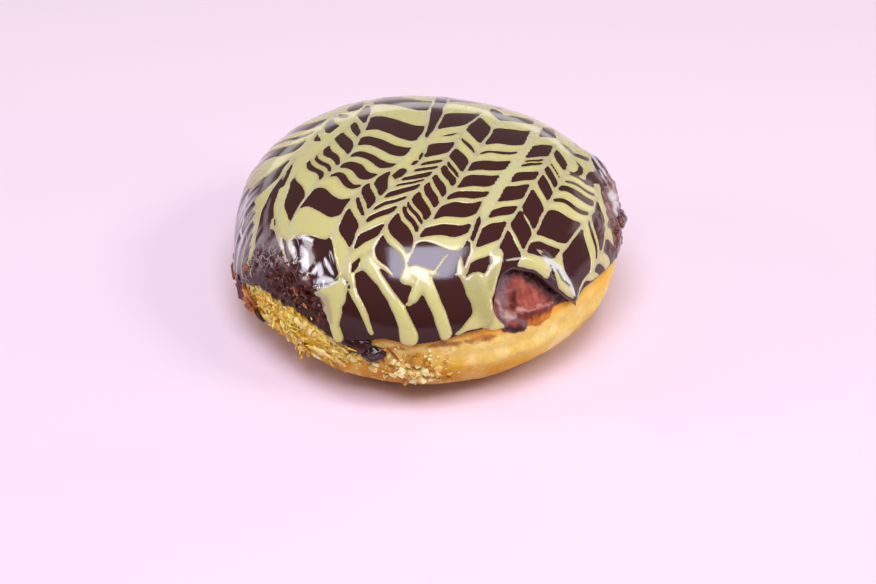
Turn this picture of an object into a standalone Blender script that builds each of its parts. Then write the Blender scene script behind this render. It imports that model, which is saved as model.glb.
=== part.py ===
"""A filled doughnut: a round risen bun under a thick dark chocolate coat.

The bun is a turned profile, pressed a little out of round. The coat is a turned coin with a
round rim, draped over the bun down to an uneven lower edge with one bare bay at the front right.
Cream drips, set lumps and pastry slivers are fused to the coat; chopped nuts and flakes are
fused to the bun. Units are metres, +Z is up, and the front of the doughnut faces -Y. A place on
the doughnut is its distance along the surface from the top, and its angle about Z from +X.
"""
import math
import random

import bmesh
import bpy
import numpy as np
from mathutils import Matrix, Vector

# Bun
BUN_RADIUS = 0.049             # plan radius at the widest level
BUN_HEIGHT = 0.049             # resting surface to the top of the dough
WIDEST_LEVEL = 0.016           # height of the widest level
BASE_RADIUS = 0.032            # flat spot that the bun rests on
SHOULDER_ACROSS = 2.52         # superellipse power of the top half, in plan radius
SHOULDER_UP = 2.58             # superellipse power of the top half, in height
UNDERSIDE = 1.65               # superellipse power of the under half
PLAN_WAVES = ((2, 0.022, -0.011), (3, 0.017, 0.016))  # order, cosine share, sine share
RISE_TO_RIGHT = 0.7            # share of its height that the bun gains per metre along +X
BUN_RINGS = 22
BUN_STEPS = 72

# Coat
GAP = 0.0004                   # clearance between dough and coat
COAT_THICKNESS = 0.00145
COAT_RINGS = 12
COAT_STEPS = 96
RIM_ARC_POINTS = 3             # points on the coat's rounded rim between its two faces
RIM_LENGTH = 0.0008            # how far the rounded rim reaches past the inner face
COAT_EDGE_FRONT = (            # lower edge: angle in degrees, distance from the top
    (-177, 0.0665), (-171, 0.0684), (-165, 0.0690), (-161, 0.0676), (-157, 0.0650),
    (-148, 0.0610), (-128, 0.0602),
    (-115, 0.0632), (-101, 0.0597), (-93, 0.0608), (-86, 0.0600), (-78, 0.0585),
    (-71.5, 0.0581), (-69, 0.0545), (-67.5, 0.0500), (-64.5, 0.0466), (-60, 0.0458), (-53, 0.0484),
    (-47, 0.0545), (-40.5, 0.0601), (-35, 0.0583), (-26, 0.0587), (-13, 0.0600), (0, 0.0596),
)
COAT_EDGE_BACK = 0.0612        # mean lower edge of the back half
BACK_EASE = 5.0                # the back edge is reached over 1/5 of the way round it
COAT_EDGE_BACK_WAVES = ((5, 0.0014, 0.6), (9, 0.0008, 1.9), (14, 0.0004, 0.2))
LEDGE_PATH = ((-41, 0.0575), (-48, 0.0505), (-55, 0.0445), (-62, 0.0435))
LEDGE_HEIGHT = 0.0011          # how far the lip over the bare bay stands above the coat
LEDGE_WIDTH = 0.0026
LEFT_LIP_ANGLE = -162          # the coat gathers into a thick lip at the far left
LEFT_LIP_SPREAD = 12
LEFT_LIP_HEIGHT = 0.0010
CRATER_ENDS = ((-0.0420, -0.0365), (-0.0310, -0.0475))  # torn hollow, in the unwrapped plane
CRATER_WIDTH = 0.0050
CRATER_DEPTH = 0.0006

# Cream drips on the coat, in the plane of the unwrapped surface: x, y, half width
DRIPS = (
    ((-0.0220, -0.0440, 0.0019), (-0.0268, -0.0500, 0.0018), (-0.0245, -0.0565, 0.0015)),
    ((-0.0190, -0.0450, 0.0008), (-0.0162, -0.0520, 0.0008), (-0.0147, -0.0570, 0.0008)),
    ((-0.0140, -0.0420, 0.0015), (-0.0090, -0.0500, 0.0021), (-0.0040, -0.0590, 0.0028)),
    ((0.0000, -0.0440, 0.0018), (0.0030, -0.0500, 0.0020), (0.0060, -0.0575, 0.0018)),
    ((0.0100, -0.0450, 0.0019), (0.0140, -0.0530, 0.0025), (0.0225, -0.0535, 0.0021)),
)
DRIP_SINK = 0.0002             # a drip's widest level below the coat's outer face
DRIP_TOP = 0.0009              # its thickness above and below that level
DRIP_ROOT = 0.0007
DRIP_SEGMENTS = 8
DRIP_RINGS = 10

# Set lumps on the coat: angle, distance, half length, width and height, centre above the coat
LUMPS = (
    (10, 0.0515, 0.0026, 0.0017, 0.0016, 0.0006), (4, 0.0550, 0.0022, 0.0018, 0.0015, 0.0006),
    (-2, 0.0505, 0.0030, 0.0016, 0.0017, 0.0006), (-7, 0.0558, 0.0026, 0.0020, 0.0018, 0.0006),
    (-12, 0.0525, 0.0022, 0.0015, 0.0014, 0.0006), (-15, 0.0575, 0.0018, 0.0014, 0.0013, 0.0004),
    (-103, 0.0612, 0.0026, 0.0020, 0.0010, -0.0003), (-108, 0.0608, 0.0020, 0.0015, 0.0009, 0.0),
)

# Pastry slivers set in the coat's lip at the far left, hanging past its edge: angle, distance,
# half length, lean in degrees
SLIVERS = (
    (-171, 0.0682, 0.0034, 20), (-165.5, 0.0702, 0.0044, 12), (-161, 0.0688, 0.0038, -10),
    (-157, 0.0668, 0.0034, 26), (-168, 0.0700, 0.0040, -24),
)
SLIVER_WIDTH = 0.0012
SLIVER_DEPTH = 0.0011
SLIVER_LEVEL = 0.0021          # height of a sliver's middle above the dough

# Nut and flake bands on the dough: first and last angle, first and last distance, count,
# half length, height of the centre above the dough
CHIP_BANDS = (
    (-153, -116, 0.0640, 0.0745, 30, 0.0015, 0.0002),
    (-104, -84, 0.0650, 0.0745, 15, 0.0014, 0.0002),
    (-70, -40, 0.0660, 0.0760, 3, 0.0009, 0.0001),
)
CHIP_CLEARANCE = 0.0006        # least way from a chip to the coat's lower edge
CHIP_SEGMENTS = 5
CHIP_RINGS = 4
CHIP_SEED = 7

SHARP_ANGLE = math.radians(38)
WELD = 1e-6
NORMAL_STEP = 0.0001


def bun_profile():
    """Plan radius, height and distance from the top along the outline of the bun."""
    turn = np.linspace(0.0, math.pi / 2, 1500)
    top_r = BUN_RADIUS * np.sin(turn) ** (2 / SHOULDER_ACROSS)
    top_z = WIDEST_LEVEL + (BUN_HEIGHT - WIDEST_LEVEL) * np.cos(turn) ** (2 / SHOULDER_UP)
    low = turn[1:]
    low_r = BASE_RADIUS + (BUN_RADIUS - BASE_RADIUS) * np.cos(low) ** (2 / UNDERSIDE)
    low_z = WIDEST_LEVEL - WIDEST_LEVEL * np.sin(low) ** (2 / UNDERSIDE)
    radius = np.concatenate((top_r, low_r))
    height = np.concatenate((top_z, low_z))
    steps = np.hypot(np.diff(radius), np.diff(height))
    return radius, height, np.concatenate(((0.0,), np.cumsum(steps)))


PROFILE_R, PROFILE_Z, PROFILE_S = bun_profile()


def press(x, y, z):
    """Move a point of the turned bun to its place on the real, uneven one."""
    angle = math.atan2(y, x)
    swell = 1.0 + sum(c * math.cos(n * angle) + s * math.sin(n * angle) for n, c, s in PLAN_WAVES)
    return Vector((x * swell, y * swell, z * (1.0 + RISE_TO_RIGHT * x * swell)))


def on_dough(distance, angle):
    """Point of the dough's surface at a distance from the top and an angle in radians."""
    radius = float(np.interp(distance, PROFILE_S, PROFILE_R))
    height = float(np.interp(distance, PROFILE_S, PROFILE_Z))
    return press(radius * math.cos(angle), radius * math.sin(angle), height)


def dough_normal(distance, angle):
    """Outward normal of the dough, from two short steps along its surface."""
    if distance < NORMAL_STEP:
        return Vector((0.0, 0.0, 1.0))
    down = on_dough(distance + NORMAL_STEP, angle) - on_dough(distance - NORMAL_STEP, angle)
    turn = NORMAL_STEP / BUN_RADIUS
    round_ = on_dough(distance, angle + turn) - on_dough(distance, angle - turn)
    return down.cross(round_).normalized()


def over_dough(distance, angle, height):
    """Point at a height above the dough."""
    return on_dough(distance, angle) + dough_normal(distance, angle) * height


def coat_edge(angle):
    """Distance from the top at which the coat ends, for an angle in radians."""
    degrees = (math.degrees(angle) + 180.0) % 360.0 - 180.0
    first, last = COAT_EDGE_FRONT[0], COAT_EDGE_FRONT[-1]
    if first[0] <= degrees <= last[0]:
        return float(np.interp(degrees, *zip(*COAT_EDGE_FRONT)))
    behind = degrees if degrees > last[0] else degrees + 360.0
    share = (behind - last[0]) / (first[0] + 360.0 - last[0])
    waves = sum(a * math.sin(n * angle + p) for n, a, p in COAT_EDGE_BACK_WAVES)
    ends = last[1] + (first[1] - last[1]) * share
    nearness = min(1.0, BACK_EASE * min(share, 1.0 - share))
    return ends + (COAT_EDGE_BACK + waves - ends) * nearness ** 2 * (3.0 - 2.0 * nearness)


def unwrapped(distance, angle):
    """Place in the plane of the unwrapped surface, with the top at its origin."""
    return Vector((distance * math.cos(angle), distance * math.sin(angle)))


def way_to_path(here, corners):
    """Distance in the unwrapped plane from a point to a path of straight runs."""
    ways = []
    for start, end in zip(corners, corners[1:]):
        run = end - start
        share = min(max((here - start).dot(run) / run.length_squared, 0.0), 1.0)
        ways.append((here - start - run * share).length)
    return min(ways)


def coat_height(distance, angle):
    """Height of the coat's outer face above the dough."""
    here = unwrapped(distance, angle)
    ledge_way = way_to_path(here, LEDGE)
    ledge = LEDGE_HEIGHT * math.exp(-(ledge_way / LEDGE_WIDTH) ** 2)
    crater_way = way_to_path(here, CRATER)
    crater = CRATER_DEPTH * math.exp(-(crater_way / CRATER_WIDTH) ** 2)
    off = (math.degrees(angle) - LEFT_LIP_ANGLE + 180.0) % 360.0 - 180.0
    near_edge = max(0.0, distance / coat_edge(angle) - 0.8) / 0.2
    lip = LEFT_LIP_HEIGHT * math.exp(-(off / LEFT_LIP_SPREAD) ** 2) * near_edge
    return GAP + COAT_THICKNESS + ledge + lip - crater


LEDGE = [unwrapped(reach, math.radians(degrees)) for degrees, reach in LEDGE_PATH]
CRATER = [Vector(end) for end in CRATER_ENDS]


def material(name, colour, roughness):
    """Plain Principled material."""
    made = bpy.data.materials.new(name)
    made.use_nodes = True
    shader = made.node_tree.nodes["Principled BSDF"]
    shader.inputs["Base Color"].default_value = (*colour, 1.0)
    shader.inputs["Roughness"].default_value = roughness
    shader.inputs["Metallic"].default_value = 0.0
    return made


def bake(obj):
    """Turn the object's modifiers into plain mesh."""
    graph = bpy.context.evaluated_depsgraph_get()
    mesh = bpy.data.meshes.new_from_object(obj.evaluated_get(graph))
    spent = obj.data
    obj.modifiers.clear()
    obj.data = mesh
    bpy.data.meshes.remove(spent)
    mesh.name = obj.name


def turned(name, profile, steps, collection):
    """Turn a profile in the X-Z plane about Z, as a closed mesh."""
    mesh = bpy.data.meshes.new(name)
    points = [(radius, 0.0, height) for radius, height in profile]
    mesh.from_pydata(points, [(i, i + 1) for i in range(len(points) - 1)], [])
    obj = bpy.data.objects.new(name, mesh)
    collection.objects.link(obj)
    screw = obj.modifiers.new("turn", "SCREW")
    screw.steps = steps
    screw.render_steps = steps
    screw.use_merge_vertices = True
    screw.merge_threshold = WELD
    bake(obj)
    return obj


def reshape(obj, place):
    """Move every vertex to place(x, y, z), and weld the poles."""
    form = bmesh.new()
    form.from_mesh(obj.data)
    bmesh.ops.remove_doubles(form, verts=form.verts, dist=WELD)
    for vertex in form.verts:
        vertex.co = place(*vertex.co)
    bmesh.ops.recalc_face_normals(form, faces=form.faces)
    form.to_mesh(obj.data)
    form.free()


def shade(obj, finish):
    """Give the object its material and smooth faces with a sharp resting edge."""
    obj.data.materials.clear()
    obj.data.materials.append(finish)
    obj.data.shade_smooth()
    obj.data.set_sharp_from_angle(angle=SHARP_ANGLE)


def add_form(form, name, collection):
    """Make an object of a bmesh."""
    mesh = bpy.data.meshes.new(name)
    form.to_mesh(mesh)
    form.free()
    obj = bpy.data.objects.new(name, mesh)
    collection.objects.link(obj)
    return obj


def new_collection(name, parent):
    """Collection under a parent collection."""
    made = bpy.data.collections.new(name)
    parent.children.link(made)
    return made


def keep_largest_body(obj):
    """Drop loose scraps and the walls of sealed hollows that fusing left."""
    form = bmesh.new()
    form.from_mesh(obj.data)
    bmesh.ops.remove_doubles(form, verts=form.verts, dist=WELD)
    bmesh.ops.dissolve_degenerate(form, edges=form.edges, dist=WELD)
    left = set(form.verts)
    bodies = []
    while left:
        body = set()
        reached = [left.pop()]
        while reached:
            vertex = reached.pop()
            body.add(vertex)
            for edge in vertex.link_edges:
                other = edge.other_vert(vertex)
                if other in left:
                    left.discard(other)
                    reached.append(other)
        bodies.append(body)
    bodies.sort(key=len)
    scraps = [vertex for body in bodies[:-1] for vertex in body]
    bmesh.ops.delete(form, geom=scraps, context="VERTS")
    bmesh.ops.triangulate(form, faces=form.faces)
    form.to_mesh(obj.data)
    form.free()


def fuse(obj, toppings):
    """Join the toppings to the object by one Boolean union, then remove them."""
    union = obj.modifiers.new("toppings", "BOOLEAN")
    union.operation = "UNION"
    union.operand_type = "COLLECTION"
    union.collection = toppings
    union.solver = "EXACT"
    bake(obj)
    for topping in list(toppings.objects):
        bpy.data.objects.remove(topping)
    bpy.data.collections.remove(toppings)
    keep_largest_body(obj)


def make_chip(name, place, axes, half_sizes, draw, collection):
    """Small uneven chip: a coarse ball, jogged, flattened and laid along a set of axes."""
    form = bmesh.new()
    bmesh.ops.create_uvsphere(form, u_segments=CHIP_SEGMENTS, v_segments=CHIP_RINGS, radius=1.0)
    for vertex in form.verts:
        vertex.co *= draw.uniform(0.8, 1.2)
    form.transform(Matrix.Translation(place) @ axes @ Matrix.Diagonal((*half_sizes, 1.0)))
    return add_form(form, name, collection)


def lying(normal, draw):
    """Axes of a chip that lies on a surface at a random turn, leaning a little."""
    spin = Matrix.Rotation(draw.uniform(0.0, math.tau), 4, "Z")
    lean = Matrix.Rotation(draw.uniform(-0.35, 0.35), 4, "X")
    return normal.to_track_quat("Z", "Y").to_matrix().to_4x4() @ lean @ spin


def make_chips(collection):
    """Nut pieces and pastry flakes, spread over their bands by a seeded rule."""
    draw = random.Random(CHIP_SEED)
    for band, (first, last, near, far, count, length, lift) in enumerate(CHIP_BANDS):
        for index in range(count):
            share = (index + draw.uniform(0.2, 0.8)) / count
            angle = math.radians(first + (last - first) * share)
            half = length * draw.uniform(0.7, 1.25)
            start = max(near, coat_edge(angle) + half * 1.2 + CHIP_CLEARANCE)
            distance = start + (max(far, start + half) - start) * draw.random()
            sizes = (half, half * draw.uniform(0.55, 0.9), half * draw.uniform(0.4, 0.6))
            axes = lying(dough_normal(distance, angle), draw)
            place = over_dough(distance, angle, lift)
            make_chip(f"chip_{band}_{index}", place, axes, sizes, draw, collection)


def make_lumps(collection):
    """Rough set lumps on the coat's right shoulder, and the blob at its front edge."""
    draw = random.Random(CHIP_SEED)
    for index, (degrees, distance, length, width, height, lift) in enumerate(LUMPS):
        angle = math.radians(degrees)
        axes = lying(dough_normal(distance, angle), draw)
        place = over_dough(distance, angle, GAP + COAT_THICKNESS + lift)
        make_chip(f"lump_{index}", place, axes, (length, width, height), draw, collection)


def make_slivers(collection):
    """Long pastry slivers that hang from the coat's lip at the far left."""
    draw = random.Random(CHIP_SEED)
    for index, (degrees, distance, length, lean) in enumerate(SLIVERS):
        angle = math.radians(degrees)
        outward = dough_normal(distance, angle)
        down = (on_dough(distance + NORMAL_STEP, angle) - on_dough(distance, angle)).normalized()
        down.rotate(Matrix.Rotation(math.radians(lean), 3, outward))
        axes = Matrix((outward, down.cross(outward), down)).transposed().to_4x4()
        place = over_dough(distance, angle, SLIVER_LEVEL)
        sizes = (SLIVER_DEPTH, SLIVER_WIDTH, length)
        make_chip(f"sliver_{index}", place, axes, sizes, draw, collection)


def make_drip(name, path, collection):
    """Cream drip: a ball stretched along its path, flattened onto the coat."""
    form = bmesh.new()
    bmesh.ops.create_uvsphere(form, u_segments=DRIP_SEGMENTS, v_segments=DRIP_RINGS, radius=1.0)
    stops = np.linspace(-1.0, 1.0, len(path))
    curves = [np.polyfit(stops, values, len(path) - 1) for values in zip(*path)]
    lead = Vector(path[-1][:2]) - Vector(path[0][:2])
    aside = Vector((-lead.y, lead.x)).normalized()
    for vertex in form.verts:
        across, up, along = vertex.co
        reach = math.hypot(across, up)
        full = 1.0 / math.sqrt(reach) if reach > WELD else 1.0
        x, y, width = (float(np.polyval(curve, along)) for curve in curves)
        spot = Vector((x, y)) + aside * across * full * width
        rise = up * full * (DRIP_TOP if up > 0.0 else DRIP_ROOT) - DRIP_SINK
        level = GAP + COAT_THICKNESS + rise
        vertex.co = over_dough(spot.length, math.atan2(spot.y, spot.x), level)
    bmesh.ops.recalc_face_normals(form, faces=form.faces)
    return add_form(form, name, collection)


def make_dough(collection):
    """The bun with its nuts and flakes."""
    reach = float(PROFILE_S[-1])
    stations = [reach * i / BUN_RINGS for i in range(BUN_RINGS + 1)]
    outline = [(float(np.interp(s, PROFILE_S, PROFILE_R)), float(np.interp(s, PROFILE_S, PROFILE_Z)))
               for s in stations]
    dough = turned("dough", outline + [(0.0, 0.0)], BUN_STEPS, collection)
    reshape(dough, press)
    toppings = new_collection("dough_toppings", collection)
    make_chips(toppings)
    fuse(dough, toppings)
    shade(dough, material("golden_dough", (0.72, 0.42, 0.13), 0.6))


def coat_outline():
    """Half section of the coin that becomes the coat: share of the way down, share of thickness."""
    shares = [(i / COAT_RINGS) ** 0.8 for i in range(COAT_RINGS + 1)]
    rim = [math.pi * (i + 1) / (RIM_ARC_POINTS + 1) for i in range(RIM_ARC_POINTS)]
    face_out = [(share, 1.0) for share in shares]
    edge = [(1.0 + math.sin(turn), 0.5 + 0.5 * math.cos(turn)) for turn in rim]
    return face_out + edge + [(share, 0.0) for share in reversed(shares)]


def drape(x, y, z):
    """Lay a point of the coin on the bun; its height is its share of the coat's thickness."""
    share, angle = math.hypot(x, y), math.atan2(y, x)
    edge = coat_edge(angle)
    inner = edge - RIM_LENGTH
    distance = inner * share if share <= 1.0 else inner + (share - 1.0) * RIM_LENGTH
    height = GAP + (coat_height(min(distance, inner), angle) - GAP) * z
    return over_dough(distance, angle, height)


def make_coat(collection):
    """The chocolate coat with its drips, lumps and slivers."""
    coat = turned("chocolate_coat", coat_outline(), COAT_STEPS, collection)
    reshape(coat, drape)
    toppings = new_collection("coat_toppings", collection)
    for index, path in enumerate(DRIPS):
        make_drip(f"drip_{index}", path, toppings)
    make_lumps(toppings)
    make_slivers(toppings)
    fuse(coat, toppings)
    shade(coat, material("dark_chocolate", (0.045, 0.016, 0.018), 0.3))


def main():
    """Build the doughnut."""
    for obj in list(bpy.data.objects):
        bpy.data.objects.remove(obj)
    doughnut = new_collection("doughnut", bpy.context.scene.collection)
    make_dough(doughnut)
    make_coat(doughnut)


main()
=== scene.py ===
"""The looks of a filled doughnut: crust, glossy coat, feathered cream, flakes, nuts and crumbs.

A place on the doughnut is its distance along the surface from the top and its angle about Z from
+X. Unwrapped flat, those two are a plane with the top at its origin and the front towards -Y; the
feathering is drawn in that plane, in millimetres. Everything else is in metres, +Z up.
"""
import math

import bpy
import numpy as np
from bpy.props import FloatProperty, FloatVectorProperty, IntProperty, PointerProperty
from mathutils import Matrix, Vector


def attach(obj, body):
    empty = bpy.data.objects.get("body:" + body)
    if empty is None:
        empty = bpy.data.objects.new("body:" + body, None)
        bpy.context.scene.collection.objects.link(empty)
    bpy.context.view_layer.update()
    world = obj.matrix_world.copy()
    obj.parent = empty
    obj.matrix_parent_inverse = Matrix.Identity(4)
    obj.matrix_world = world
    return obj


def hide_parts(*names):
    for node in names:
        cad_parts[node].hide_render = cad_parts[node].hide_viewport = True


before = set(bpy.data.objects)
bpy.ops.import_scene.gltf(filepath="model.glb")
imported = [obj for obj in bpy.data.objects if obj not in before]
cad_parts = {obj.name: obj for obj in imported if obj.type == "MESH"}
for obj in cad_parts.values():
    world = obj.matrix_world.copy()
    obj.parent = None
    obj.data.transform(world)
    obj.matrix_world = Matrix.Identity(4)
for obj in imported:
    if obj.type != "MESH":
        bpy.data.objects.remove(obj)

bl_info = {
    "name": "Feathered Doughnut",
    "version": (1, 0, 0),
    "blender": (4, 5, 0),
    "location": "View3D > Sidebar > Doughnut",
    "description": "Bakes a filled doughnut with a chocolate coat and feathered cream icing",
    "category": "Add Mesh",
}

BODY = "root"
MM = 0.001

# Form of the bun, the same as the solids'
BUN_RADIUS = 0.049
BUN_HEIGHT = 0.049
WIDEST_LEVEL = 0.016
BASE_RADIUS = 0.032
SHOULDER_ACROSS = 2.52
SHOULDER_UP = 2.58
UNDERSIDE = 1.65
PLAN_WAVES = ((2, 0.022, -0.011), (3, 0.017, 0.016))
RISE_TO_RIGHT = 0.7
NORMAL_STEP = 0.0001

# Form of the coat, the same as the solids'
COAT_LEVEL = 0.00185           # outer face above the dough
RIM_LENGTH = 0.0008
COAT_EDGE_FRONT = (
    (-177, 0.0665), (-171, 0.0684), (-165, 0.0690), (-161, 0.0676), (-157, 0.0650),
    (-148, 0.0610), (-128, 0.0602),
    (-115, 0.0632), (-101, 0.0597), (-93, 0.0608), (-86, 0.0600), (-78, 0.0585),
    (-71.5, 0.0581), (-69, 0.0545), (-67.5, 0.0500), (-64.5, 0.0466), (-60, 0.0458), (-53, 0.0484),
    (-47, 0.0545), (-40.5, 0.0601), (-35, 0.0583), (-26, 0.0587), (-13, 0.0600), (0, 0.0596),
)
COAT_EDGE_BACK = 0.0612
BACK_EASE = 5.0
COAT_EDGE_BACK_WAVES = ((5, 0.0014, 0.6), (9, 0.0008, 1.9), (14, 0.0004, 0.2))
LEDGE_PATH = ((-41, 0.0575), (-48, 0.0505), (-55, 0.0445), (-62, 0.0435))
LEDGE_HEIGHT = 0.0011
LEDGE_WIDTH = 0.0026
LEFT_LIP_ANGLE = -162
LEFT_LIP_SPREAD = 12
LEFT_LIP_HEIGHT = 0.0010
CRATER_ENDS = ((-0.0420, -0.0365), (-0.0310, -0.0475))
CRATER_WIDTH = 0.0050
CRATER_DEPTH = 0.0009

# Feathering: tines dragged through piped lines, away from (+1) or towards (-1) the front. Each
# path is (x, y) in millimetres from the back to the front of the unwrapped coat.
TINES = (
    (+1, ((-14, 60), (-19.5, 36), (-22.8, 25), (-25.4, 19), (-28.6, 12), (-31.6, 6.5), (-36, 0),
          (-39, -5), (-44, -13), (-50, -26))),
    (-1, ((-12.5, 60), (-18, 36), (-24.5, 14), (-30, 4.5), (-37, -4), (-41, -12), (-45, -26))),
    (+1, ((-9, 60), (-14.5, 36), (-19, 13), (-26, 2.5), (-31.5, -2.5), (-35.5, -8), (-39, -20),
          (-41, -32))),
    (-1, ((-6, 60), (-12.5, 36), (-15.3, 26), (-14.8, 20), (-14.6, 16), (-15.3, 11), (-16.3, 7),
          (-19.4, -3), (-23, -9), (-29, -14), (-33.5, -20), (-37, -30))),
    (+1, ((3, 60), (2.2, 36), (1, 25), (0.1, 20), (-0.6, 9), (-1, 5), (-2.2, 1), (-3.8, -3), (-5, -6),
          (-8, -11), (-15.5, -16.5), (-20.5, -25), (-24.2, -34), (-23.2, -40), (-21.8, -44))),
    (-1, ((8, 60), (6, 36), (3.8, 15), (2.6, 10), (1.3, 5), (0, 1), (-0.8, -5), (-1.7, -9), (-3, -11.5),
          (-5.6, -14.5), (-9, -19), (-14, -25.5), (-19, -37), (-22, -50))),
    (+1, ((19, 60), (16, 36), (14, 17), (10.6, 10), (8.9, 6.5), (7.6, 2.5), (6.5, -2), (5.3, -6),
          (3.9, -10), (0, -17), (-6, -24.5), (-10.5, -32), (-15.5, -41.5), (-18, -48))),
    (-1, ((23, 60), (21, 36), (20.2, 20), (18.9, 14), (16.4, 9), (13.5, 0), (11, -9), (8.5, -16),
          (3, -26), (-2, -34.5), (-5.5, -44), (-7, -50))),
    (+1, ((33, 60), (30, 36), (28, 16), (24.3, 3), (20.5, -8), (17, -18), (13, -27), (10, -36),
          (8.7, -41), (8.2, -46), (6, -52))),
    (-1, ((34.5, 60), (31.5, 36), (29, 15), (25, 2), (22, -9), (18, -20), (13, -33), (10.8, -42),
          (9.5, -50))),
    (+1, ((40, 60), (37, 36), (32.5, 8), (30.5, 1), (28, -8), (24, -21), (20.5, -29), (17, -39),
          (14, -50))),
    (-1, ((44, 60), (41, 30), (37, 10), (35, -3), (31.5, -16), (28, -28), (24.5, -38), (21, -50))),
    (+1, ((49, 60), (46, 30), (42, 8), (44, -4), (43.5, -12), (40, -21), (35.5, -31), (33, -36),
          (29, -50))),
    (-1, ((53, 60), (52, 30), (47.5, 6), (48.5, -10), (49.5, -20), (48, -27.5), (46, -33), (43, -50))),
)
# Chocolate left bare in each column between tines: slope of the piped lines, then the upper and
# lower end of each bare stretch along the column's middle, with its own slope where that differs
COLUMNS = (
    (-0.55, ((44, 39), (34, 28), (20.3, 16.5), (13.4, 12.4), (9.7, 6.3), (0, -6, -0.1))),
    (-0.5, ((46, 42), (36, 30))),
    (-0.5, ((46, 42), (36, 30))),
    (-0.5, ((47, 41), (36, 29), (24, 12.8), (10.3, 7.6), (5, 1.2), (-1.2, -3), (-4.6, -5.5), (-6.8, -8),
            (-12.3, -20), (-26, -33))),
    (-0.75, ((52, 46), (41, 36), (29, 20.8), (11.5, 4), (0.6, -3.2), (-6.1, -8.1), (-10.2, -12.3),
             (-13.9, -14.9), (-18, -23), (-33, -44))),
    (-0.4, ((52, 42), (34, 2.5), (-15.5, -18.3), (-19.6, -22.3), (-23.6, -24.7), (-26.8, -32.5))),
    (-0.3, ((52, 43), (38, 27), (17.2, 8), (-0.4, -6.1, -0.45), (-8.7, -10, -0.6), (-11.3, -12.7, -0.6),
            (-14.1, -16, -0.45), (-17, -17.8, -0.4), (-19, -21.3), (-23.2, -24.6), (-26.3, -28.2),
            (-31.2, -34.8), (-38.8, -41))),
    (-0.4, ((52, 43), (36, 27), (12, 3), (-0.3, -1.5), (-5.2, -10), (-11.4, -12.4), (-13.3, -15.5),
            (-17.2, -19.2), (-20.5, -22.5), (-23.8, -26.2), (-27.1, -27.9), (-28.8, -29.8), (-31, -35),
            (-37, -41))),
    (-0.25, ((50, 43), (37, 28), (20, 15.5), (9.5, 1), (-2.5, -3.5), (-7, -11.3), (-13.5, -18),
             (-20, -22.4), (-24, -28.5), (-31, -34), (-36.8, -42.6, -0.5))),
    (0.0, ((-28, -35), (-36, -41))),
    (-0.25, ((50, 43), (37, 28), (18, 10), (4.5, -2), (-3.3, -4.1), (-5, -6), (-9, -13), (-15, -21),
             (-23.5, -26.5), (-29, -35), (-39, -42))),
    (-0.35, ((50, 43), (37, 28), (2.4, -1.5), (-4.5, -5.5), (-7, -9.5), (-11, -14.8), (-17.5, -25),
             (-26, -31.5), (-33, -42))),
    (-0.35, ((50, 43), (36, 27), (20, 14), (9, 6.5), (-3.5, -4.3), (-6.8, -7.7), (-9.5, -11.8),
             (-14.8, -16.2), (-19.6, -28.3), (-30.3, -34))),
    (-0.45, ((50, 43), (36, 24), (16, 8), (3, 1.5), (-10, -18), (-19.6, -20.8), (-24, -35), (-40, -60))),
    (-0.3, ((50, 43), (36, 24), (16, 4), (-2, -5), (-8, -12), (-16, -20), (-24, -27), (-31, -40))),
)
# Bare streaks where the drawn lines stray from that: x, y and half width along each
BARE_STREAKS = (
    ((-23.3, 21, 0.15), (-22.9, 18.8, 0.45), (-21.8, 17, 0.65), (-20.4, 16.4, 0.2)),
    ((-24.9, 16.8, 0.15), (-25, 14, 1.0), (-24.6, 11.8, 1.9), (-24.9, 10, 1.2), (-24.8, 8.8, 0.3)),
    ((-28, 10.8, 0.15), (-28.4, 8.4, 0.45), (-28.3, 6.9, 0.8), (-27.4, 5.6, 0.3)),
    ((-18.3, 27, 1.0), (-19.4, 23.8, 2.0), (-19.6, 21.6, 1.4)),
    ((-34.4, 0.9, 0.12), (-35.4, -2, 0.35), (-36.3, -5, 0.45), (-38, -8.5, 0.8)),
    ((-36.6, -3.2, 0.1), (-38.6, -6, 0.35), (-40.3, -9.5, 1.4), (-42.5, -14, 2.2), (-44.3, -19, 2.7),
     (-45.5, -23, 2.6)),
    ((-40.7, -14, 0.12), (-40.4, -19, 0.3), (-39.8, -25, 0.25)),
    ((3.6, 2.9, 0.2), (5.5, 3.4, 0.4), (7.4, 4.7, 0.2)),
    ((-1.4, -4.2, 0.15), (-1.6, -6, 0.4), (-2.1, -8.3, 0.25)),
    ((-2.9, -8.9, 0.45), (-3.6, -10.2, 0.5)),
    ((-6.3, -12.7, 1.0), (-7.3, -14.3, 1.2)),
    ((-8.9, -14, 0.12), (-7.5, -16.5, 0.3)),
    ((17.6, 23, 0.7), (18.1, 20, 1.4), (18.6, 17, 1.1), (18.7, 14, 0.15)),
    ((33.9, 9.7, 0.2), (35.6, 8, 0.9), (37.1, 5.4, 0.3)),
    ((37.4, 3.1, 0.25), (38.9, 1.5, 0.6), (38.3, -1.3, 0.75), (36.9, -3.6, 0.5), (35.3, -3.4, 0.15)),
    ((40.1, -4.7, 0.25), (41.5, -1.6, 1.2), (43.4, 1.4, 1.8), (45.2, 4.4, 1.3)),
)
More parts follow.
